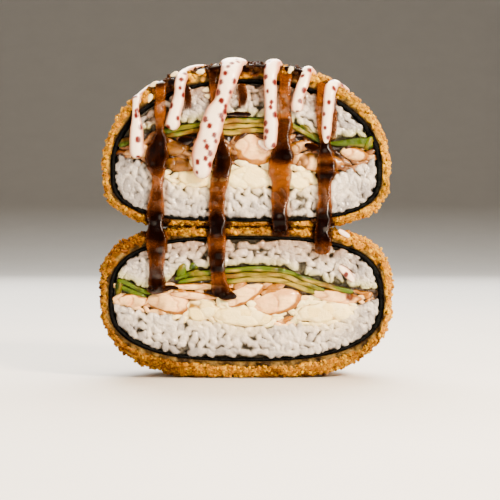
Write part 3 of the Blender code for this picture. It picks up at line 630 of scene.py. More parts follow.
avocado = {
    "slice": 1.45, "gap": 0.35, "front": 0.3,
    "lower": [(-43.2, -31.6, 0, 1.45, 1.45, 0.9), (-42.8, -33.4, 1, 1.45, 1.45, 0.6),
              (-24.0, 36.0, 0, 1.45, 1.45, 0.8), (-23.0, 27.0, 1, 1.45, 1.45, 0.1),
              (-8.5, 25.0, 2, 1.45, 1.45, 0.15)],
    "upper": [(-43.2, -37.0, 0, 3.0, 1.45, 0.8), (-30.0, 26.0, 0, 1.45, 1.45, 0.35),
              (-28.0, 13.0, 1, 1.45, 1.45, 0.1), (-13.0, 10.0, 2, 1.45, 1.45, 0.1),
              (27.6, 42.6, 0, 1.45, 3.9, 1.0)],
    "flesh": linear("#5E5000"), "cream": linear("#A0862A"), "green": linear("#425400"),
    "deep": linear("#142600"), "shadow": linear("#1C1000"), "stain": linear("#5E3002"),
    "bits": {"lower": [(-21.4, 36.2, 2.9, 1.5, 65, 1.1), (-17.6, 37.3, 1.7, 1.1, 10, 0.9),
                       (-18.6, 34.9, 2.8, 0.8, 20, 0.7), (-42.6, 30.2, 2.6, 1.2, 80, 1.2)],
             "upper": [(20.4, 82.9, 2.8, 0.8, -35, 0.7), (23.4, 80.7, 2.6, 1.0, -40, 0.9),
                       (41.0, 78.4, 2.4, 1.4, 70, 1.0), (-28.0, 82.6, 2.4, 0.7, 15, 0.8)]},
}


def makeSlice(name, node, spec, tag, seed):
    # sections along x: the slice hangs under the rice, wavy, its front edges rounded
    _, ceiling, space = fillings[tag]
    start, end, layer, thickStart, thickEnd, greenness = spec
    count = max(24, int((end - start) / 0.3))
    share = (0.5 - 0.5 * np.cos(np.linspace(0.02, np.pi - 0.02, count)))[:, None]
    x = start + (end - start) * share
    top = heightOn(ceiling, x) - avocado["gap"] - layer * (avocado["slice"] + avocado["gap"])
    line = np.concatenate([x, x * 0, top], axis=1)[:, None]
    thick = (thickStart + (thickEnd - thickStart) * share ** 2) * (1.12 + 0.22 * softNoise(line, 5.0, seed))
    ends = (1 - np.abs(2 * share - 1) ** (0.4 * (end - start))) ** 0.5
    middle = top - thick / 2 + 0.3 * softNoise(line, 4.5, seed + 7)
    t, s = sectionLoop(16, 5, 6)
    z = middle + (2 * t - 1) * 0.5 * (thick + 0.3) * ends
    edgeShare = np.abs(2 * t - 1)
    back = np.maximum(backOf(space, x, z), 1.6)
    front = avocado["front"] + 0.8 * (1 - (1 - edgeShare ** 3) ** 0.5) + 0.9 * (1 - ends)
    front = front + 0.25 * softNoise(line, 3.0, seed + 8) + 0.25 * layer
    points = np.stack([np.broadcast_to(x, z.shape), front + s * (back - front), z], axis=-1)
    points[..., 1] += np.where(s == 0, 0.2 * softNoise(points, 1.2, seed + 1), 0)
    width = roomWidth(space, z)
    points[..., 0] = np.clip(points[..., 0], -width, width)
    tone = softNoise(points, 3.0, seed + 2)
    streak = softNoise(points * (0.25, 1, 1.6), 0.9, seed + 3)
    colour = between(avocado["flesh"], avocado["cream"], step(tone + 0.8 * streak + 0.35 * layer, -0.5, 0.9))
    tips = step(np.minimum(share, 1 - share) * (end - start), 8.0, 1.0)
    rim = step(t + 0.3 * tone, 0.55, 0.95) * (1.0 if layer == 0 else 0.4)
    left = step(points[..., 0], -10.0, -26.0) * 0.5
    fresh = greenness * step(softNoise(points, 4.0, seed + 9) + 0.4 * streak, -0.6, 0.3) + left
    green = np.clip(rim + fresh + tips * (0.9 if layer == 0 else 0.6), 0, 1)
    colour = between(colour, avocado["green"], green)
    colour = between(colour, avocado["deep"], step(softNoise(points * (0.5, 1, 1), 1.8, seed + 4), 0.1, 0.7)
                     * np.clip(tips + rim + fresh, 0, 1) * 0.85)
    wetAndShade = 0.3 if tag == "upper" else 0.0
    # painted shade: the upper half's right-hand slice is darker
    colour = between(colour, avocado["deep"], 1.5 * wetAndShade * step(points[..., 0], 20.0, 28.0))
    # sauce stain, more of it on the upper half
    colour = between(colour, avocado["stain"], 0.7 * step(softNoise(points, 4.5, seed + 5) + wetAndShade, 0.45, 0.9))
    dim = np.maximum(step(t, 0.24, 0.0), 0.8 * step(t, 0.82, 1.0)) * (s == 0)
    dim = np.clip(0.85 * dim + 0.7 * step(points[..., 1], 1.2, 2.4), 0, 1)
    colour = between(colour, avocado["shadow"], dim)
    piece = makePiece(name, skinOf(points[None]), avocadoLook, onSkin(np.clip(colour, 0, 1)[None]))
    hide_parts(node)


for tag in fillings:
    for i, spec in enumerate(avocado[tag], 1):
        makeSlice(f"avocado_{tag}_slice_{i}", f"avocado_{tag}_{i}", spec, tag, 500 + 10 * i)
print("avocado made")


# Prawns: (x, z, half length, half height, tilt, side of the orange skin in degrees, sauce stain)

prawn = {
    "around": 60, "rings": 20, "back": 4, "front": 0.15, "dome": 2.0, "uneven": 0.2, "grown": 1.08,
    "lower": [(-38.1, 25.9, 4.6, 2.3, 0, 60, 0.15), (-25.5, 24.6, 6.8, 3.2, -10, -70, 0.25),
              (-18.0, 27.7, 7.6, 1.3, -4, 80, 0.2), (-15.4, 30.5, 10.4, 1.2, 0, 85, 0.3),
              (-0.8, 27.6, 7.2, 2.8, 28, -80, 0.1), (10.7, 25.3, 8.0, 4.0, 14, -50, 0.12),
              (30.2, 27.2, 7.9, 2.1, -8, 60, 0.2)],
    "upper": [(-34.6, 76.0, 4.4, 2.2, -12, 0, 0.45), (-23.6, 77.0, 5.0, 2.6, 14, 100, 0.65),
              (-22.4, 71.4, 4.8, 2.4, -10, -90, 0.7), (-9.0, 75.2, 4.2, 3.4, 30, 150, 0.85),
              (2.6, 76.2, 6.6, 4.9, -10, -100, 0.1), (17.6, 77.3, 4.4, 1.9, 20, 110, 0.45),
              (24.8, 72.1, 7.6, 3.3, -6, -20, 0.6), (36.4, 75.0, 4.6, 2.0, -14, 30, 0.2)],
    "flesh": linear("#FDCD8C"), "pink": linear("#DA9658"), "orange": linear("#925A00"),
    "rust": linear("#703400"), "brown": linear("#240C00"), "hole": (34.6, 27.0, 1.8),
}


def lumpRings(spec, settings, space, seed):
    # rings from the middle of the rounded cut face outwards, then straight back to the nori and in again
    x, z, halfLength, halfHeight, tilt = spec[:5]
    angle = np.linspace(0, 2 * np.pi, settings["around"], endpoint=False)[None, :]
    circle = np.stack([np.cos(angle), np.sin(angle), 0 * angle], axis=-1) + seed
    ragged = 0.6 * softNoise(circle, 0.9, seed) + 0.4 * softNoise(circle, 0.35, seed + 1)
    shape = settings["grown"] * (1 + settings["uneven"] * ragged)
    rings, wall, end = settings["rings"], settings["back"], 4
    out = np.concatenate([np.linspace(0.04, 1, rings), np.ones(wall), np.linspace(0.9, 0.05, end)])[:, None]
    deep = np.concatenate([np.zeros(rings), np.linspace(0.1, 1, wall), np.ones(end)])[:, None]
    along, up = out * shape * halfLength * np.cos(angle), out * shape * halfHeight * np.sin(angle)
    turn = math.radians(tilt)
    px = x + along * math.cos(turn) - up * math.sin(turn)
    pz = z + along * math.sin(turn) + up * math.cos(turn)
    front = settings["front"] + settings["dome"] * (1 - (1 - np.clip(out, 0, 1) ** 3.2) ** 0.5)
    back = np.maximum(backOf(space, px, pz), 3.0)
    points = np.stack([px, front + deep * (back - front), pz], axis=-1)
    return points, out, angle, deep


def makePrawn(name, node, spec, tag, seed):
    # a lump whose cut face has muscle rings, fibres and swells, and whose rim is orange on the skin's side
    points, out, angle, deep = lumpRings(spec, prawn, fillings[tag][2], seed)
    halfLength, side, stain = spec[2], math.radians(spec[5]), spec[6]
    face = deep == 0
    u, v = out * np.cos(angle), out * np.sin(angle)
    # muscle rings: grooves across the body, bent round the side that carries the skin, and lumps between
    bow = u * halfLength + 0.4 * halfLength * v ** 2 + 0.9 * softNoise(points, 3.0, seed + 8)
    groove = np.clip(np.cos(2 * np.pi * bow / 6.4 + seed), 0, 1) ** 8
    fibre = softNoise(points * (0.5, 1, 1.6), 0.9, seed + 1)
    swell = softNoise(points, 2.8, seed + 9)
    relief = 0.45 * groove * (1 - 0.5 * out) + 0.14 * fibre - 0.3 * swell * (1 - out)
    points[..., 1] += np.where(face, relief, 0)
    skinSide = np.cos(angle - side)
    start = 0.62 if tag == "upper" else 0.67
    rim = step(out * (0.82 + 0.38 * skinSide) + 0.12 * softNoise(points, 1.8, seed + 2), start, start + 0.16)
    blush = step(softNoise(points, 3.2, seed + 3) + 0.6 * out, 0.0, 1.2)
    colour = between(prawn["flesh"], prawn["pink"], np.clip(0.7 * blush, 0, 1))
    colour = between(colour, prawn["pink"], 0.7 * groove * face)
    colour = between(colour, prawn["orange"], rim)
    colour = between(colour, prawn["rust"], step(softNoise(points, 1.7, seed + 4), 0.0, 0.8) * rim * 0.8)
    soak = step(softNoise(points, 3.6, seed + 5) + 1.8 * stain - 0.5 + 0.4 * groove, -0.2, 0.7)
    colour = between(colour, prawn["orange"] * 0.55, soak * min(1, 1.6 * stain))
    colour = between(colour, prawn["brown"], soak * step(softNoise(points, 2.0, seed + 6), -0.2, 0.7) * stain)
    # a dent pushed back and painted dark red: the prawn's own red, with painted shade in the dent
    holeX, holeZ, holeSize = prawn["hole"]
    hole = step(np.hypot(points[..., 0] - holeX, points[..., 2] - holeZ) / holeSize, 1.0, 0.5) * face
    points[..., 1] += 0.9 * hole
    colour = between(colour, prawn["rust"] * 0.6, hole)
    # painted shade: dark brown where the lump goes back from the cut
    colour = between(colour, prawn["brown"], step(points[..., 1], 1.5, 2.7) * 0.9)
    piece = makePiece(name, skinOf(points[None]), prawnLook, onSkin(colour[None]))
    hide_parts(node)


for tag in fillings:
    for i, spec in enumerate(prawn[tag], 1):
        makePrawn(f"prawn_{tag}_cut_{i}", f"prawn_{tag}_{i}", spec, tag, 700 + 10 * i)
print("prawns made")


# Cream cheese: (x, z, half length, half height, tilt)

cheese = {
    "around": 72, "rings": 28, "back": 4, "front": 0.2, "dome": 2.0, "uneven": 0.3, "grown": 1.12,
    "lower": [(-15.2, 22.6, 5.2, 3.2, 4), (-1.2, 20.4, 8.8, 3.1, -3), (26.8, 21.9, 9.0, 3.4, 4)],
    "upper": [(-16.6, 66.6, 6.4, 2.7, 0), (1.4, 66.9, 7.4, 3.8, 3), (18.4, 66.2, 5.2, 2.9, 0)],
    "ivory": linear("#FFE9AA"), "butter": linear("#F6DA88"), "creaseShade": linear("#8A6210"),
}


def makeCheese(name, node, spec, tag, seed):
    # curds pressed together: rounded lumps of two sizes, with painted shade, dark ochre, in the creases
    # between them and at the rim
    points, out, _, deep = lumpRings(spec, cheese, fillings[tag][2], seed)
    curds, label = lumps(points * (1, 1.4, 1.2), 4.6, seed + 1)
    fine, _ = lumps(points, 1.2, seed + 2)
    points[..., 1] += np.where(deep == 0, 1.6 * (1 - curds) + 0.14 * (1 - fine) - 0.5 - 0.5 * label, 0)
    points[..., 1] = np.maximum(points[..., 1], 0.05)
    colour = between(cheese["ivory"], cheese["butter"], 0.8 * step(label, 0.25, 1.0))
    # painted shade in the creases between the curds
    colour = between(cheese["creaseShade"], colour, step(curds + 0.15 * fine, 0.24, 0.6))
    # painted shade at the rim, where the lump turns back
    colour = between(colour, cheese["creaseShade"], 0.6 * step(out + 0.05 * fine, 0.93, 1.03))
    piece = makePiece(name, skinOf(points[None]), cheeseLook, onSkin(colour[None]))
    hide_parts(node)


for tag in fillings:
    for i, spec in enumerate(cheese[tag], 1):
        makeCheese(f"cheese_{tag}_lump_{i}", f"cheese_{tag}_{i}", spec, tag, 900 + 10 * i)
print("cheese made")


# The rice

rice = {
    "columns": 400, "rows": 84, "deepest": 3.2, "merge": 0.14, "swell": 0.5, "fall": 1.5, "warp": 0.6,
    "length": (2.0, 3.0), "width": (1.2, 1.6), "spacing": 5.6, "tops": (0.1, 0.6),
    "deepTops": (1.5, 2.4), "deepSpacing": 7.5, "missing": (0.02, 0.08),
    # the glassy grey is translucent grains and painted shade
    "white": linear("#D6CBBA"), "glassyAndShade": linear("#7E7876"), "ivory": linear("#E4CE98"),
    # the hollow colour is painted shade in the pits between the grains
    "green": linear("#B0AE62"), "stain": linear("#80541C"), "hollow": linear("#40361F"),
    # the soaked colours are sauce stain and painted shade in the band between the fillings
    "soaked": {"lower": linear("#4E3210"), "upper": linear("#281204")},
}
runLines = {"lower": (-29.6, -9.8, 25.4), "upper": (-29.6, -9.0, 12.0, 26.0)}


def ricePaint(points, shade, above, tag):
    # white grains, greyer by the nori and, as painted shade, on the upper half's left; ivory by the cheese,
    # green by the avocado, brown by the sauce
    _, ceiling, space = fillings[tag]
    x, z = points[..., 0], points[..., 2]
    up = z - space["belly"]
    reach, power = sidesOf(space, up)
    upShare = np.clip(np.abs(up) / reach, 0, 1)
    near = ((np.abs(x) / space["radius"]) ** power + upShare ** power) ** (1 / power)
    # painted shade: on the upper half the rice is greyer on the left, where less light falls
    left = 0.42 * step(-x, 4.0, 36.0) if tag == "upper" else 0
    clear = step(near, 0.72, 1.0) * 0.55 + 0.75 * shade - 0.25 + left + 0.3 * softNoise(points, 1.8, 76)
    clear = clear + 0.35 * step(softNoise(points, 1.0, 79), 0.2, 0.6)
    colour = between(rice["white"], rice["glassyAndShade"], np.clip(clear, 0, 0.9))
    if above:
        colour = between(colour, rice["green"], 0.7 * step(z - heightOn(ceiling, x), 4.0, 0.4))
    for spotX, spotZ, size, *_ in cheese[tag]:
        far = np.hypot((x - spotX) / (size + 4), (z - spotZ) / 8.5)
        colour = between(colour, rice["ivory"], 0.55 * step(far, 1.05, 0.4) * (0 if above else 1))
    if above:      # sauce stain and painted shade: browner towards the top
        wetAndShade = step(z + 2.0 * softNoise(points, 3.5, 78), *((87.0, 97.0) if tag == "upper" else (36.0, 46.0)))
        colour = between(colour, rice["stain"], (0.6 if tag == "upper" else 0.65) * wetAndShade)
    for line in runLines[tag]:
        streak = step(np.abs(x - line - 1.2 * softNoise(points, 4.0, 77)), 4.0, 2.6)
        reachDown = step(z, 38.0, 42.0) if tag == "lower" else 1
        colour = between(colour, rice["stain"], 0.5 * streak * reachDown)
    return colour


def dealGrains(inside, area, draws):
    # spots spread evenly: each moves to the middle of the part of the face nearest to it, eight times
    x, z = np.meshgrid(np.arange(-48, 48, 0.6), np.arange(0, 106, 0.6))
    keep = inside(x, z)
    sites = np.stack([x[keep], z[keep]], axis=-1)
    spots = sites[draws.choice(len(sites), int(keep.sum() * 0.36 / area), replace=False)]
    for _ in range(8):
        owner = np.argmin(((sites[:, None] - spots[None]) ** 2).sum(axis=-1), axis=1)
        count = np.maximum(np.bincount(owner, minlength=len(spots)), 1)[:, None]
        total = np.stack([np.bincount(owner, sites[:, k], len(spots)) for k in (0, 1)], axis=-1)
        spots = total / count
    return spots


def leanOf(spots, space, draws):
    # grains lie any way round, but along the nori where they touch it
    lean = draws.uniform(0, np.pi, len(spots))
    around = np.arctan2((spots[:, 1] - space["belly"]) / squash, spots[:, 0])
    _, out = halfSurface(space, around, np.zeros(len(spots)))
    level = np.clip(spots[:, 1], space["floor"] + 0.01, space["crown"] - 0.01)
    edge = roomWidth(space, level) - np.abs(spots[:, 0])
    lift = np.minimum(spots[:, 1] - space["floor"], space["crown"] - spots[:, 1])
    beside = np.arctan2(out[:, 0], -out[:, 2]) + draws.normal(0, 0.3, len(spots))
    return np.where(np.minimum(edge, lift) < 2.6, beside, lean)


def grainFace(x, z, spots, lean, halves, tops, shades):
    # a grain's face is pressed nearly flat and falls away steeply at its edge, by the sixth power of the
    # distance; where faces meet they run into each other: minus the log of the summed exponents of
    # minus the depths
    place = np.stack([x, 0 * x, z], axis=-1)
    flatX = (x + rice["warp"] * softNoise(place, 1.4, 501)).ravel()[:, None]
    flatZ = (z + rice["warp"] * softNoise(place, 1.4, 502)).ravel()[:, None]
    depth, shade = np.empty(x.size), np.empty(x.size)
    turnCos, turnSin = np.cos(lean), np.sin(lean)
    for part in np.array_split(np.arange(x.size), 30):
        alongX, alongZ = flatX[part] - spots[:, 0], flatZ[part] - spots[:, 1]
        along = (alongX * turnCos + alongZ * turnSin) / halves[:, 0]
        across = (alongZ * turnCos - alongX * turnSin) / halves[:, 1]
        far = along ** 2 + across ** 2
        own = tops + rice["swell"] * far + rice["fall"] * far ** 3
        least = own.min(axis=1, keepdims=True)
        weight = np.exp((least - own) / rice["merge"])
        total = weight.sum(axis=1)
        depth[part] = least[:, 0] - rice["merge"] * np.log(total)
        shade[part] = (weight * shades).sum(axis=1) / total
    return depth.reshape(x.shape), shade.reshape(x.shape)


def makeRice(name, node, tag, above, seed):
    # one skin: its front is the cut face, grain by grain, and the rest follows the nori and the fillings
    top, ceiling, space = fillings[tag]
    draws = np.random.default_rng(seed)
    rim = 2.5
    wide = math.sqrt(space["radius"] ** 2 - rim ** 2) * 0.999
    x = wide * np.sin(np.linspace(-np.pi / 2, np.pi / 2, rice["columns"]))[:, None]
    outline, other = roomEdge(space, x, rim, above), roomEdge(space, x, rim, not above)
    seam = np.clip(heightOn(ceiling, x), np.minimum(outline, other), np.maximum(outline, other))
    low, high = (seam, outline) if above else (outline, seam)
    t, s = sectionLoop(rice["rows"], 6, 10)
    z = low + (high - low) * (0.002 + 0.996 * t)
    x = np.broadcast_to(x, z.shape)

    def inside(x, z):
        level = np.clip(z, space["floor"] + 0.01, space["crown"] - 0.01)
        clear = (z > space["floor"] + 0.5) & (z < space["crown"] - 0.5)
        clear &= np.abs(x) < roomWidth(space, level) - 0.5
        return clear & (z > heightOn(ceiling, x) + 0.7 if above else z < heightOn(top, x) + 0.8)

    spots = dealGrains(inside, rice["spacing"], draws)
    spots = spots[draws.random(len(spots)) > rice["missing"][above]]
    behind = dealGrains(inside, rice["deepSpacing"], draws)
    tops = np.concatenate([draws.uniform(*rice["tops"], len(spots)),
                           draws.uniform(*rice["deepTops"], len(behind))])
    spots = np.concatenate([spots, behind])
    count = len(spots)
    halves = np.stack([draws.uniform(*rice["length"], count), draws.uniform(*rice["width"], count)], axis=1)
    shades = draws.random(count)
    front = s == 0
    face = np.full(z.shape, rice["deepest"])
    shade = np.full(z.shape, 0.5)
    face[:, front], shade[:, front] = grainFace(x[:, front], z[:, front], spots, leanOf(spots, space, draws),
                                                halves, tops, shades)
    points = np.stack([x, 0 * x, z], axis=-1)
    face = face + 0.1 * softNoise(points, 0.6, seed) + 0.14 * softNoise(points, 1.6, seed + 3)
    # the band under the fillings is set back and painted dark
    band = 0 if above else step(z - heightOn(top, x) + 0.5 * softNoise(points, 1.6, seed + 1), 1.2, 2.2)
    face = face + (2.9 + 0.4 * softNoise(points, 1.3, seed + 2) - face) * band
    face = np.minimum(face, rice["deepest"])
    back = backOf(space, x, z)
    face = np.minimum(face, back - 0.02)
    points[..., 1] = face + s * (back - face)
    colour = ricePaint(points, shade, above, tag)
    # painted shade in the pits, where the face lies deep
    colour = between(colour, rice["hollow"], 0.9 * step(face, 1.0, 1.9))
    # sauce stain and painted shade on the band between the fillings
    colour = between(colour, rice["soaked"][tag], 0.9 * band)
    piece = makePiece(name, skinOf(points[None]), riceLook, onSkin(colour[None]))
    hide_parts(node)


makeRice("cooked_rice_over_lower", "rice_over_lower", "lower", True, 11)
makeRice("cooked_rice_under_lower", "rice_under_lower", "lower", False, 12)
makeRice("cooked_rice_over_upper", "rice_over_upper", "upper", True, 13)
makeRice("cooked_rice_under_upper", "rice_under_upper", "upper", False, 14)
print("rice made")


# Shreds of filling in the band between the whole pieces

shreds = {"spacing": (2.7, 1.8), "length": (1.6, 3.0), "height": (0.7, 1.3), "depth": (1.6, 2.5), "rows": 11,
          "around": 16, "stain": {"lower": 0.0, "upper": 0.7}}


def knobs(x, z, length, height, lean, depth, seed):
    # knobbly ovals: turned by their lean, and every point moved a little by noise
    t = np.cos(np.pi * (np.arange(shreds["rows"]) + 0.5) / shreds["rows"])
    angle = np.linspace(0, 2 * np.pi, shreds["around"], endpoint=False)
    x, z, length, height, lean, depth = (np.asarray(v, dtype=float)[:, None, None]
                                         for v in (x, z, length, height, lean, depth))
    wide = np.sqrt(1 - t ** 2)[None, :, None]
    along = t[None, :, None] * length + 0 * angle
    up, deep = wide * np.cos(angle) * height, wide * np.sin(angle) * height * 0.9
    points = np.stack([x + along * np.cos(lean) - up * np.sin(lean), depth + deep,
                       z + along * np.sin(lean) + up * np.cos(lean)], axis=-1)
    return points + 0.4 * np.stack([softNoise(points, 1.2, seed + k) for k in (1, 2, 3)], axis=-1)


def makeShreds(name, tag, seed):
    # shreds lie on a jittered grid wherever the band holds no whole piece: cheese by the cheese, else prawn
    top, ceiling, _ = fillings[tag]
    draws = np.random.default_rng(seed)
    x, z = np.meshgrid(np.arange(-42, 42, shreds["spacing"][0]), np.arange(18, 90, shreds["spacing"][1]))
    x = x.ravel() + draws.uniform(-1.0, 1.0, x.size)
    z = z.ravel() + draws.uniform(-0.6, 0.6, z.size)
    layers = sum((x > start) & (x < end) for start, end, *_ in avocado[tag])
    free = (z > heightOn(top, x) + 0.5) & (z < heightOn(ceiling, x) - 0.8 - 1.8 * layers)
    for pieceX, pieceZ, halfLength, halfHeight, tilt, *_ in prawn[tag] + cheese[tag]:
        turn = math.radians(tilt)
        along = (x - pieceX) * math.cos(turn) + (z - pieceZ) * math.sin(turn)
        up = (z - pieceZ) * math.cos(turn) - (x - pieceX) * math.sin(turn)
        free &= (along / halfLength) ** 2 + (up / halfHeight) ** 2 > 0.8
    x, z = x[free], z[free]
    count = len(x)
    points = knobs(x, z, draws.uniform(*shreds["length"], count), draws.uniform(*shreds["height"], count),
                   draws.normal(0, 0.4, count), draws.uniform(*shreds["depth"], count), seed)
    fromCheese = [np.hypot((x - spotX) / (size + 5), (z - spotZ) / 5.4)
                  for spotX, spotZ, size, *_ in cheese[tag]]
    curd = (np.min(fromCheese, axis=0) < 1).astype(float)[:, None, None]
    tone = draws.random((count, 1, 1)) + 0.4 * softNoise(points, 1.5, seed + 4)
    colour = between(prawn["flesh"], prawn["orange"], step(tone, 0.3, 0.9))
    stain = shreds["stain"][tag] + 0.5 * softNoise(points, 3.5, seed + 5)
    colour = between(colour, prawn["rust"], step(stain, 0.1, 0.7) * 0.8)
    colour = between(colour, prawn["brown"], step(stain + 0.3 * tone, 0.6, 1.2))
    colour = between(colour, cheese["ivory"], curd * np.ones(colour.shape[:3]))
    makePiece(name, skinOf(points), prawnLook, onSkin(colour))


def makeBits(name, tag, seed):
    # torn bits of avocado beside the slices, dark where the skin was
    x, z, length, height, lean, depth = np.array(avocado["bits"][tag]).T
    points = knobs(x, z, length, height, np.radians(lean), depth, seed)
    colour = between(avocado["flesh"], avocado["green"], step(softNoise(points, 2.2, seed + 4), -0.5, 0.3))
    colour = between(colour, avocado["deep"], step(softNoise(points, 1.6, seed + 5), 0.0, 0.6))
    makePiece(name, skinOf(points), avocadoLook, onSkin(colour))


makeShreds("prawn_shreds_lower", "lower", 41)
makeShreds("prawn_shreds_upper", "upper", 42)
makeBits("avocado_bits_lower", "lower", 43)
makeBits("avocado_bits_upper", "upper", 44)
print("shreds made")


# Sauces. A run has points on top of the crust (x, depth, half width), then points that hang in front
# of the cut (x, height, half width).

whiteRuns = [
    ([(-29.0, 5.0, 1.1), (-32.5, 3.4, 1.2), (-36.0, 1.6, 1.4)],
     [(-36.4, 93.0, 1.4), (-36.7, 89.0, 1.2), (-36.4, 84.0, 2.0), (-36.4, 77.0, 2.5), (-36.2, 73.2, 2.3)]),
    ([(-13.2, 6.0, 1.2), (-17.4, 4.6, 1.6), (-20.6, 2.0, 1.9)],
     [(-21.8, 98.6, 1.9), (-22.4, 93.0, 1.9), (-24.0, 86.4, 2.2), (-24.2, 82.6, 2.2)]),
    ([(-3.0, 10.0, 2.2), (-3.6, 6.0, 4.0), (-4.4, 2.0, 4.2)],
     [(-5.6, 100.4, 3.2), (-8.0, 92.5, 2.7), (-10.0, 88.0, 3.5), (-12.2, 81.0, 3.6), (-14.2, 75.0, 3.8),
      (-14.5, 70.2, 3.4), (-14.4, 66.4, 3.2)]),
    ([(9.8, 7.6, 1.8), (9.4, 4.8, 2.8), (8.8, 2.0, 2.8)],
     [(8.2, 100.4, 2.2), (8.2, 91.0, 2.1), (8.2, 83.0, 2.2), (8.0, 79.0, 2.1), (8.0, 76.2, 2.1)]),
    ([(23.0, 5.6, 1.5), (21.6, 3.6, 2.0), (20.2, 1.4, 2.0)],
     [(18.6, 97.0, 1.8), (17.4, 93.4, 1.8), (17.0, 90.4, 2.0), (17.0, 88.4, 1.9)]),
    ([(34.6, 6.4, 1.3), (32.0, 3.8, 1.9), (29.4, 1.6, 2.0)],
     [(27.8, 94.6, 1.9), (27.0, 87.0, 1.9), (26.7, 82.0, 1.6), (26.6, 79.0, 1.0), (26.6, 76.6, 0.4)]),
]
whiteSmears = [
    [(30.8, 49.6, 0.7), (32.4, 48.4, 1.0), (34.6, 47.2, 0.7)],
    [(30.9, 37.4, 0.7), (33.0, 35.6, 1.2), (34.6, 33.8, 1.2), (35.8, 32.2, 0.8)],
    [(4.2, 79.4, 0.8), (5.8, 78.0, 1.4), (8.0, 76.6, 1.6)],
]
white = {"around": 40, "spacing": 0.3, "flatness": 0.72, "thickest": 1.9, "gap": 0.3, "sunk": 0.9,
         "waver": 0.1, "endShare": 1.0, "flat": 1.0, "smearThickness": 0.35,
         # the blush is pink tone in patches and painted shade on the runs' sides
         "milk": linear("#FFE9CE"), "blush": linear("#B47252"), "speck": linear("#4E0600"),
         "speckEdge": linear("#94402C"), "speckSize": 0.94, "specksPerArea": 0.092, "plain": (6, 8)}


def settle(crustPiece, x, depth):
    # the place and outward direction on top of a crust, straight under (x, depth)
    bpy.context.view_layer.update()
    above = Vector((x * mm, (depth + cutPlane) * mm, 0.2))
    _, place, normal, _ = crustPiece.ray_cast(above, Vector((0, 0, -1)))
    return np.array(place) / mm - (0, cutPlane, 0), np.array(normal)


def runStations(over, down, thickness):
    # rows of place, half width, half thickness and outward direction: first over the crust, then hanging
    rows = []
    for x, depth, width in over:
        place, normal = settle(upperCrust, x, depth)
        smooth = normal + (0, -0.3, 1.5)
        rows.append([*place, width, thickness(width), *(smooth / np.linalg.norm(smooth))])
    for x, z, width in down:
        rows.append([x, -(white["gap"] + thickness(width)), z, width, thickness(width), 0, -1, 0])
    return rows


def hanging(points, thick):
    # the same rows for a run that hangs in front of the cut, from (x, height, half width)
    return [[x, -(0.1 + thick), z, width, thick, 0, -1, 0] for x, z, width in points]


def runRings(rows, settings, seed):
    # oval rings carried along the run; the front half is the run's own thickness, the back half reaches
    # down into what it lies on, and both ends are rounded off
    waver = settings["waver"]
    line = curveThrough(rows, settings["spacing"])
    place, width, thick, outward = line[:, :3], line[:, 3], line[:, 4], line[:, 5:8]
    ahead = np.gradient(place, axis=0)
    ahead /= np.linalg.norm(ahead, axis=1, keepdims=True)
    side = np.cross(ahead, outward)
    side /= np.linalg.norm(side, axis=1, keepdims=True)
    out = np.cross(side, ahead)
    travelled = np.concatenate([[0], np.cumsum(np.linalg.norm(np.diff(place, axis=0), axis=1))])
    left = np.minimum(travelled, travelled[-1] - travelled)
    rounded = np.clip(left / (width * settings["endShare"]), 0, 1)
    cap = np.sqrt(np.clip(1 - (1 - rounded) ** 2, 0.0004, 1))
    width = width * cap * (1 + waver * (softNoise(place, 4.0, seed) + 0.6 * softNoise(place, 1.6, seed + 5)))
    place = place + side * (0.35 * waver / 0.16 * softNoise(place, 5.0, seed + 9))[:, None]
    angle = np.linspace(0, 2 * np.pi, settings["around"], endpoint=False)
    reach = np.where(np.sin(angle) > 0, thick[:, None], thick[:, None] + settings["sunk"]) * cap[:, None]
    lift = np.sign(np.sin(angle)) * np.abs(np.sin(angle)) ** settings["flat"]
    ring = (place[:, None] + side[:, None] * (width[:, None] * np.cos(angle))[..., None]
            + out[:, None] * (reach * lift)[..., None])
    return ring, angle


def whiteThickness(width):
    # a run's half thickness: a share of its half width, up to the thickest
    return min(width * white["flatness"], white["thickest"])


def makeWhiteSauce():
    # every run and smear as rings; pepper specks are spread along each and marked on the points near them
    draws = np.random.default_rng(31)
    skins, paints = [], []
    routes = [runStations(over, down, whiteThickness) for over, down in whiteRuns]
    routes += [hanging(points, white["smearThickness"]) for points in whiteSmears]
    for i, rows in enumerate(routes):
        rings, angle = runRings(rows, white, 60 + i)
        area = 2 * white["spacing"] * np.linalg.norm(rings[:, 0] - rings.mean(axis=1), axis=1).sum()
        count = 0 if i in white["plain"] else int(area * white["specksPerArea"])
        ring = ((np.arange(count) + draws.uniform(0.1, 0.9, count)) * len(rings) / max(count, 1)).astype(int)
        turn = np.round(np.arccos(draws.uniform(-0.85, 0.85, count)) / (2 * np.pi) * len(angle)).astype(int)
        specks = rings[ring, turn]
        sizes = white["speckSize"] * draws.uniform(0.65, 1.1, count)
        wobble = 0.16 * softNoise(rings, 0.8, 90)
        mark = np.zeros(rings.shape[:2])
        for spot, size in zip(specks, sizes):
            far = np.linalg.norm((rings - spot) * (1, 1, 0.85), axis=-1) / size + wobble
            mark = np.maximum(mark, step(far, 1.25, 0.55))
        # painted shade: the run's sides, where it turns away, are darker and pinker
        edge = step(np.abs(np.cos(angle)), 0.42, 1.0) * np.ones(rings.shape[:2])
        colour = between(white["milk"], white["blush"],
                         np.clip(0.3 * step(softNoise(rings, 5.0, 91), 0.0, 1.0) + 0.9 * edge, 0, 1))
        colour = between(colour, white["speckEdge"], step(mark, 0.0, 0.5))
        colour = between(colour, white["speck"], step(mark, 0.4, 1.0))
        skins.append(skinOf(rings[None]))
        paints.append(onSkin(colour[None]))
    makePiece("white_sauce", joinSkins(skins), whiteLook, np.concatenate(paints))


makeWhiteSauce()
print("white sauce made")


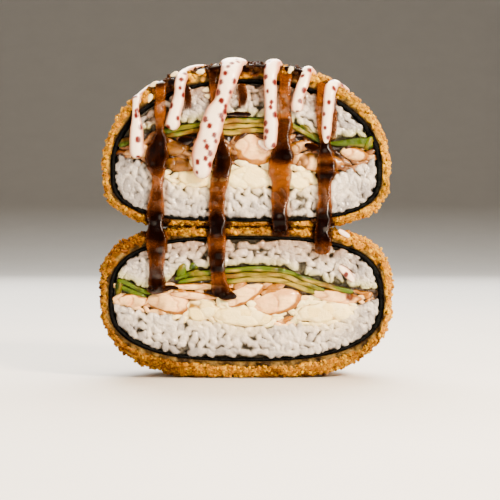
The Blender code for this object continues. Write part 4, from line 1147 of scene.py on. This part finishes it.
# Dark runs, how dark each is from top to bottom, as pairs of (height, 0 amber to 1 black, or below 0
# where only a film is left), and over how many mm its end thins out
darkRuns = [
    ([(-28.6, 1.6, 1.7)],
     [(-28.5, 97.0, 1.8), (-28.6, 89.0, 1.8), (-28.9, 83.0, 1.3), (-29.0, 79.6, 2.6), (-29.8, 74.8, 3.9),
      (-29.8, 71.8, 3.5), (-29.3, 69.0, 2.4), (-29.5, 66.0, 1.9), (-29.8, 61.6, 2.3), (-30.1, 56.0, 2.8),
      (-30.0, 52.2, 2.6), (-29.9, 49.4, 2.7), (-29.9, 46.4, 3.4), (-29.8, 40.6, 2.9), (-29.6, 35.3, 2.5),
      (-29.4, 31.0, 2.7), (-29.4, 28.4, 1.8)],
     [(98, 0.9), (95.5, 0.1), (93, -0.3), (90, -0.2), (87.5, 0.3), (84, 0.3), (80.5, 0.95), (71, 0.95),
      (68, 0.45), (65, 0.22), (61.5, 0.5), (58, 0.55), (55, 0.9), (52, 1.0), (49, 1.0), (46.5, 0.9),
      (44.5, 0.5), (42, 0.8), (40, 0.6), (38.5, 0.5), (36, 0.75), (33, 0.8), (30, 0.95)], 2.6),
    ([(-10.4, 1.8, 2.0)],
     [(-10.8, 99.5, 1.5), (-10.6, 90.0, 1.6), (-9.6, 80.0, 2.6), (-7.6, 72.0, 3.2), (-8.6, 67.0, 3.4),
      (-9.4, 63.4, 2.8), (-9.6, 57.8, 2.7), (-9.6, 52.2, 3.0), (-9.8, 49.4, 2.8), (-9.8, 45.8, 3.2),
      (-9.6, 38.8, 2.8), (-9.4, 34.0, 2.8), (-8.6, 29.6, 3.2), (-7.4, 26.8, 2.4)],
     [(99, 0.8), (96, 0.1), (90, 0.1), (84, 0.4), (78, 0.8), (70, 0.9), (67, 0.6), (65, 0.4),
      (62.5, 0.42), (60, 0.75), (57.5, 0.45), (55, 0.75), (53, 1.0), (49, 0.95), (46, 0.4), (43.5, 0.5),
      (41, 0.85), (38, 0.85), (36.2, 1.0), (35, 0.5), (33, 0.35), (31, 0.6), (29, 0.9), (26, 1.0)], 2.6),
    ([(13.2, 1.8, 2.0)],
     [(13.0, 98.4, 2.1), (12.8, 90.0, 2.3), (12.5, 84.0, 2.8), (12.3, 77.0, 3.0), (12.0, 73.8, 4.0),
      (11.4, 70.6, 3.8), (11.6, 67.0, 3.6), (11.4, 63.4, 3.0), (11.0, 57.8, 2.7), (11.2, 52.2, 2.6),
      (11.7, 49.8, 2.5), (11.9, 48.2, 1.8)],
     [(98, 0.5), (95, -0.1), (92, -0.4), (88, -0.1), (86, 0.6), (82, 0.6), (78, 0.8), (75, 0.98),
      (73.6, 0.95), (70.8, 0.2), (67, 0.12), (65, 0.18), (62, 0.45), (59, 0.4), (56, 0.65),
      (53.5, 1.0), (48, 1.0)], 1.2),
    ([(25.6, 1.6, 1.5)],
     [(25.0, 95.0, 1.6), (25.4, 84.0, 2.0), (26.4, 77.4, 2.1), (26.8, 73.0, 3.6), (26.8, 69.6, 3.5),
      (26.4, 66.4, 2.6), (26.2, 63.0, 2.3), (26.0, 56.0, 2.5), (26.0, 52.2, 2.7), (25.6, 49.4, 2.5),
      (25.4, 46.8, 2.8), (25.4, 43.6, 2.6), (25.4, 41.2, 2.3)],
     [(95, 0.3), (91, -0.3), (84, -0.1), (80, 0.5), (78, 0.92), (75.4, 0.9), (73, 0.4), (71, 0.8),
      (69.6, 0.45), (67.6, 0.9), (64, 0.5), (60, 0.42), (57, 0.6), (54, 1.0), (50, 0.97), (46, 0.98),
      (44.6, 0.75), (42.8, 0.6), (41, 0.3)], 0),
]
streaks = [
    [(-20.0, 97.5, 0.9), (-19.4, 93.0, 1.2), (-19.8, 88.8, 0.9)],
    [(-11.6, 98.0, 1.2), (-11.0, 94.0, 1.3), (-11.6, 91.0, 0.9)],
    [(-1.4, 98.4, 1.3), (-0.8, 94.0, 1.5), (-1.4, 89.6, 1.0)],
    [(29.4, 93.6, 0.9), (29.0, 86.0, 1.0), (28.6, 79.0, 0.8)],
]
pools = [
    [(-31.0, 0.8, 0.7), (-28.4, 1.0, 1.6), (-25.4, 0.9, 1.5), (-22.6, 0.7, 0.8)],
    [(-16.0, 0.7, 0.7), (-13.0, 0.8, 1.2), (-9.8, 0.8, 1.4), (-7.0, 0.8, 0.9)],
    [(-2.6, 0.8, 0.8), (1.0, 0.9, 1.3), (4.4, 0.8, 1.2), (7.0, 0.8, 0.7)],
    [(12.6, 0.7, 0.7), (15.8, 0.9, 1.4), (18.4, 0.9, 1.4), (20.6, 0.8, 0.8)],
]
# dark puddles on the filling: sauce pools, and painted shadow in the gaps between the pieces
puddlesAndShade = [
    [(-22.8, 79.6, 0.8), (-20.2, 79.0, 1.5), (-17.4, 79.5, 0.7)],
    [(19.4, 77.9, 0.7), (22.4, 76.7, 1.4), (25.2, 76.2, 0.9)],
    [(-13.4, 28.9, 0.5), (-10.6, 28.7, 1.0), (-7.6, 28.2, 1.7), (-5.2, 27.7, 1.4), (-3.0, 27.2, 0.5)],
    [(-33.2, 29.9, 0.6), (-30.8, 29.5, 1.3), (-27.8, 29.6, 1.2), (-25.0, 30.0, 0.8), (-22.4, 29.9, 0.4)],
    [(-6.6, 87.8, 0.5), (-2.6, 88.2, 0.8), (1.8, 88.1, 0.5)],
]
dark = {"around": 32, "spacing": 0.35, "thickness": 0.75, "thinThickness": 0.3, "sunk": 0.9,
        "waver": 0.16, "endShare": 0.5, "flat": 0.85,
        "amber": linear("#6A3400"), "brown": linear("#2C1000"), "black": linear("#070100")}


def edgeStations(points):
    # pools on the crust's upper edge, as (x, drop from its top, half width), that face forwards and up
    return [[x, 0.25, settle(upperCrust, x, 1.0)[0][2] - drop, width, 0.35, 0, -0.88, 0.47]
            for x, drop, width in points]


def darkPaint(rings, angle, levels, fade, seed):
    # amber, brown or black by depth of colour; the thin edges and the fading end are clearer
    level = np.interp(rings[..., 2], *zip(*sorted(levels)))
    level = level + 0.2 * softNoise(rings, 3.2, seed) + 0.1 * softNoise(rings * (1, 1, 0.4), 1.1, seed + 1)
    edge = np.abs(np.cos(angle))[None, :] * np.ones(rings.shape[:2])
    film = np.clip(-level, 0, 0.6)
    level = np.clip(level - 0.4 * step(edge, 0.5, 1.0), 0, 1)
    colour = between(dark["amber"], dark["brown"], step(level, 0.0, 0.6))
    colour = between(colour, dark["black"], step(level, 0.5, 0.95))
    clear = np.clip(0.78 + 0.22 * step(level, 0.2, 0.85) - 0.35 * step(edge, 0.8, 1.0) - film, 0, 1)
    if fade:
        clear = clear * step(rings[..., 2] - rings[..., 2].min(), 0.05, fade)
    return np.concatenate([colour, clear[..., None]], axis=-1)


def darkSkins(runs, seed):
    # every run's rings and paint; the front wavers a little in depth
    skins, paints = [], []
    for i, (rows, levels, fade) in enumerate(runs):
        rings, angle = runRings(rows, dark, seed + i)
        rings[..., 1] += (0.2 * softNoise(rings, 2.2, seed + 40)) * (np.sin(angle) > -0.1)
        skins.append(skinOf(rings[None]))
        paints.append(onSkin(darkPaint(rings, angle, levels, fade, seed + i)[None]))
    return joinSkins(skins), np.concatenate(paints)


def makeDarkSauce():
    # the runs from the crust's edge, then thin streaks, pools on that edge, and puddles of sauce and painted
    # shadow on the filling
    thick, thin = dark["thickness"], dark["thinThickness"]
    runs = [(runStations(over, [], lambda width: thick) + hanging(down, thick), levels, fade)
            for over, down, levels, fade in darkRuns]
    runs += [(hanging(points, thin), [(80, 0.3), (96, 0.65)], 2.0) for points in streaks]
    runs += [(edgeStations(points), [(60, 1.0), (110, 1.0)], 0) for points in pools]
    runs += [(hanging(points, thin), [(20, 0.9), (110, 0.9)], 0) for points in puddlesAndShade]
    skin, paint = darkSkins(runs, 200)
    makePiece("dark_sauce", skin, darkLook, paint)


makeDarkSauce()
print("dark sauce made")


# Sesame seeds, on the crust (x, depth) and stuck to the cut (x, depth, height, tilt)

seeds = {
    "size": (1.6, 0.88, 0.5), "rows": 9, "around": 12,
    "onCrust": [(-10.6, 5.4), (3.4, 8.2), (-21.0, 9.6), (20.5, 8.4), (9.0, 11.8), (-6.2, 12.4), (25.4, 4.2),
                (-1.8, 6.2)],
    "onCut": [(-30.9, 0.0, 98.0, 25), (-24.0, 0.2, 101.4, 20), (-15.3, -0.3, 102.2, 5),
              (14.7, 0.0, 102.6, 60), (-32.1, 0.0, 93.4, 68), (-13.3, 0.1, 96.3, 15),
              (-12.6, 0.1, 94.2, -10)],
    "cream": linear("#E2CE9C"), "tip": linear("#AE8248"),
}


def makeSeeds():
    # a flat drop, pointed at one end: its width is share^0.9 * (1 - share)^0.45, 1 at its widest
    draws = np.random.default_rng(8)
    t = 0.5 - 0.5 * np.cos(np.linspace(0.15, np.pi - 0.15, seeds["rows"]))
    angle = np.linspace(0, 2 * np.pi, seeds["around"], endpoint=False)
    profile = (t ** 0.9 * (1 - t) ** 0.45 / 0.4236)[:, None]
    along = np.broadcast_to((2 * t - 1)[:, None], (len(t), len(angle)))
    drop = np.stack([along * seeds["size"][0], profile * np.cos(angle) * seeds["size"][1],
                     profile * np.sin(angle) * seeds["size"][2]], axis=-1)
    places, normals = [], []
    for x, depth in seeds["onCrust"]:
        place, normal = settle(upperCrust, x, depth)
        normal = normal + (0, -0.2, 1.2)
        places.append(place + 0.35 * normal / np.linalg.norm(normal))
        normals.append(normal)
    normals = np.array(normals)
    normals /= np.linalg.norm(normals, axis=1, keepdims=True)
    frames = [*turnsFor(normals, draws)]
    for x, depth, z, tilt in seeds["onCut"]:
        turn = math.radians(tilt)
        places.append(np.array([x, depth, z]))
        frames.append(np.array([[math.cos(turn), 0, math.sin(turn)], [-math.sin(turn), 0, math.cos(turn)],
                                [0, -1, 0]]))
    turned = np.einsum("rak,nkd->nrad", drop, np.array(frames))
    rings = turned + np.array(places)[:, None, None]
    paint = between(seeds["cream"], seeds["tip"], step(along, -0.55, -1.0)) * np.ones((len(places), 1, 1, 1))
    makePiece("sesame_seeds", skinOf(rings), seedLook, onSkin(paint))


makeSeeds()
print("seeds made")


# Floor, lights and camera

studio = {
    "floor": linear("#D2CCC2"), "reach": 3.0, "near": -2.5, "far": 5.0, "drop": 0.0002,   # in metres
    "bend": 1.6, "bendSize": 1.8, "bendHeight": 1.1,      # how far back it curves up, and how steeply
    "sky": 0.2, "skyColour": (1.0, 0.95, 0.88, 1), "aimAt": (0, 0, 0.05),
    "lights": [("keyLight", (0.34, -0.36, 0.36), (0.14, 0.14), 14.0, "#FFE8CC"),
               ("stripLight", (0.27, -0.42, 0.08), (0.05, 0.32), 2.2, "#FFF0DC"),
               ("fillLight", (-0.40, -0.26, 0.22), (0.2, 0.3), 1.2, "#FFE6C6"),
               ("topLight", (0.0, 0.02, 0.50), (0.4, 0.3), 4.0, "#FFEBD0"),
               ("rimLight", (0.45, 0.30, 0.25), (0.2, 0.5), 2.4, "#FFE6C4"),
               ("backdropLight", (0.0, 0.9, 1.2), (1.6, 0.8), 90.0, "#FFFFFF")],
    "lens": 85, "sensor": 36, "away": 394, "aside": 1.3, "height": 42.8,      # the camera, in mm
}


def makeFloor():
    # a pale board that curves up far behind the burger, by the square of the way past its bend
    across = np.linspace(-studio["reach"], studio["reach"], 41)
    along = np.linspace(studio["near"], studio["far"], 61)
    rise = np.clip((along - studio["bend"]) / studio["bendSize"], 0, None) ** 2 * studio["bendHeight"]
    x, y = np.meshgrid(across, along)
    z = np.repeat(rise[:, None], len(across), axis=1) - studio["drop"]
    points = np.stack([x, y, z], axis=-1).reshape(-1, 3)
    row, col = np.meshgrid(np.arange(len(along) - 1), np.arange(len(across) - 1), indexing="ij")
    first = (row * len(across) + col).ravel()
    faces = np.stack([first, first + 1, first + len(across) + 1, first + len(across)], axis=-1)
    mesh = bpy.data.meshes.new("studio_floor")
    mesh.from_pydata(points.tolist(), [], faces.tolist())
    mesh.polygons.foreach_set("use_smooth", np.full(len(faces), True))
    material, tree, shader = startMaterial("paleBoard", Roughness=0.6)
    colour = addNode(tree, "RGB")
    colour.outputs[0].default_value = (*studio["floor"], 1)
    tree.links.new(shaded(tree, colour.outputs[0], grainOf(tree, 60.0, 3.0, 0.6, (0.98, 1.02))),
                   shader.inputs["Base Color"])
    mesh.materials.append(material)
    floor = bpy.data.objects.new("studio_floor", mesh)
    bpy.context.scene.collection.objects.link(floor)


def addLight(name, place, size, power, tint):
    # a soft rectangle of light, sized in metres, turned from its place to the burger's middle
    data = bpy.data.lights.new(name, "AREA")
    data.shape = "RECTANGLE"
    data.size, data.size_y = size
    data.energy = power
    data.color = linear(tint)
    light = bpy.data.objects.new(name, data)
    bpy.context.scene.collection.objects.link(light)
    light.location = place
    light.rotation_euler = (Vector(studio["aimAt"]) - Vector(place)).to_track_quat("-Z", "Y").to_euler()


def makeStudio():
    # the lights and a faint warm sky
    for light in studio["lights"]:
        addLight(*light)
    world = bpy.data.worlds.new("studio")
    world.use_nodes = True
    world.node_tree.nodes["Background"].inputs["Color"].default_value = studio["skyColour"]
    world.node_tree.nodes["Background"].inputs["Strength"].default_value = studio["sky"]
    bpy.context.scene.world = world


def makeCamera():
    # level with the lower half's top, straight in front of the cut
    data = bpy.data.cameras.new("camera")
    data.lens = studio["lens"]
    data.sensor_width = studio["sensor"]
    camera = bpy.data.objects.new("camera", data)
    camera.location = (studio["aside"] * mm, (cutPlane - studio["away"]) * mm, studio["height"] * mm)
    camera.rotation_euler = (math.pi / 2, 0, 0)
    bpy.context.scene.collection.objects.link(camera)
    bpy.context.scene.camera = camera


makeFloor()
makeStudio()
makeCamera()
print("studio made")
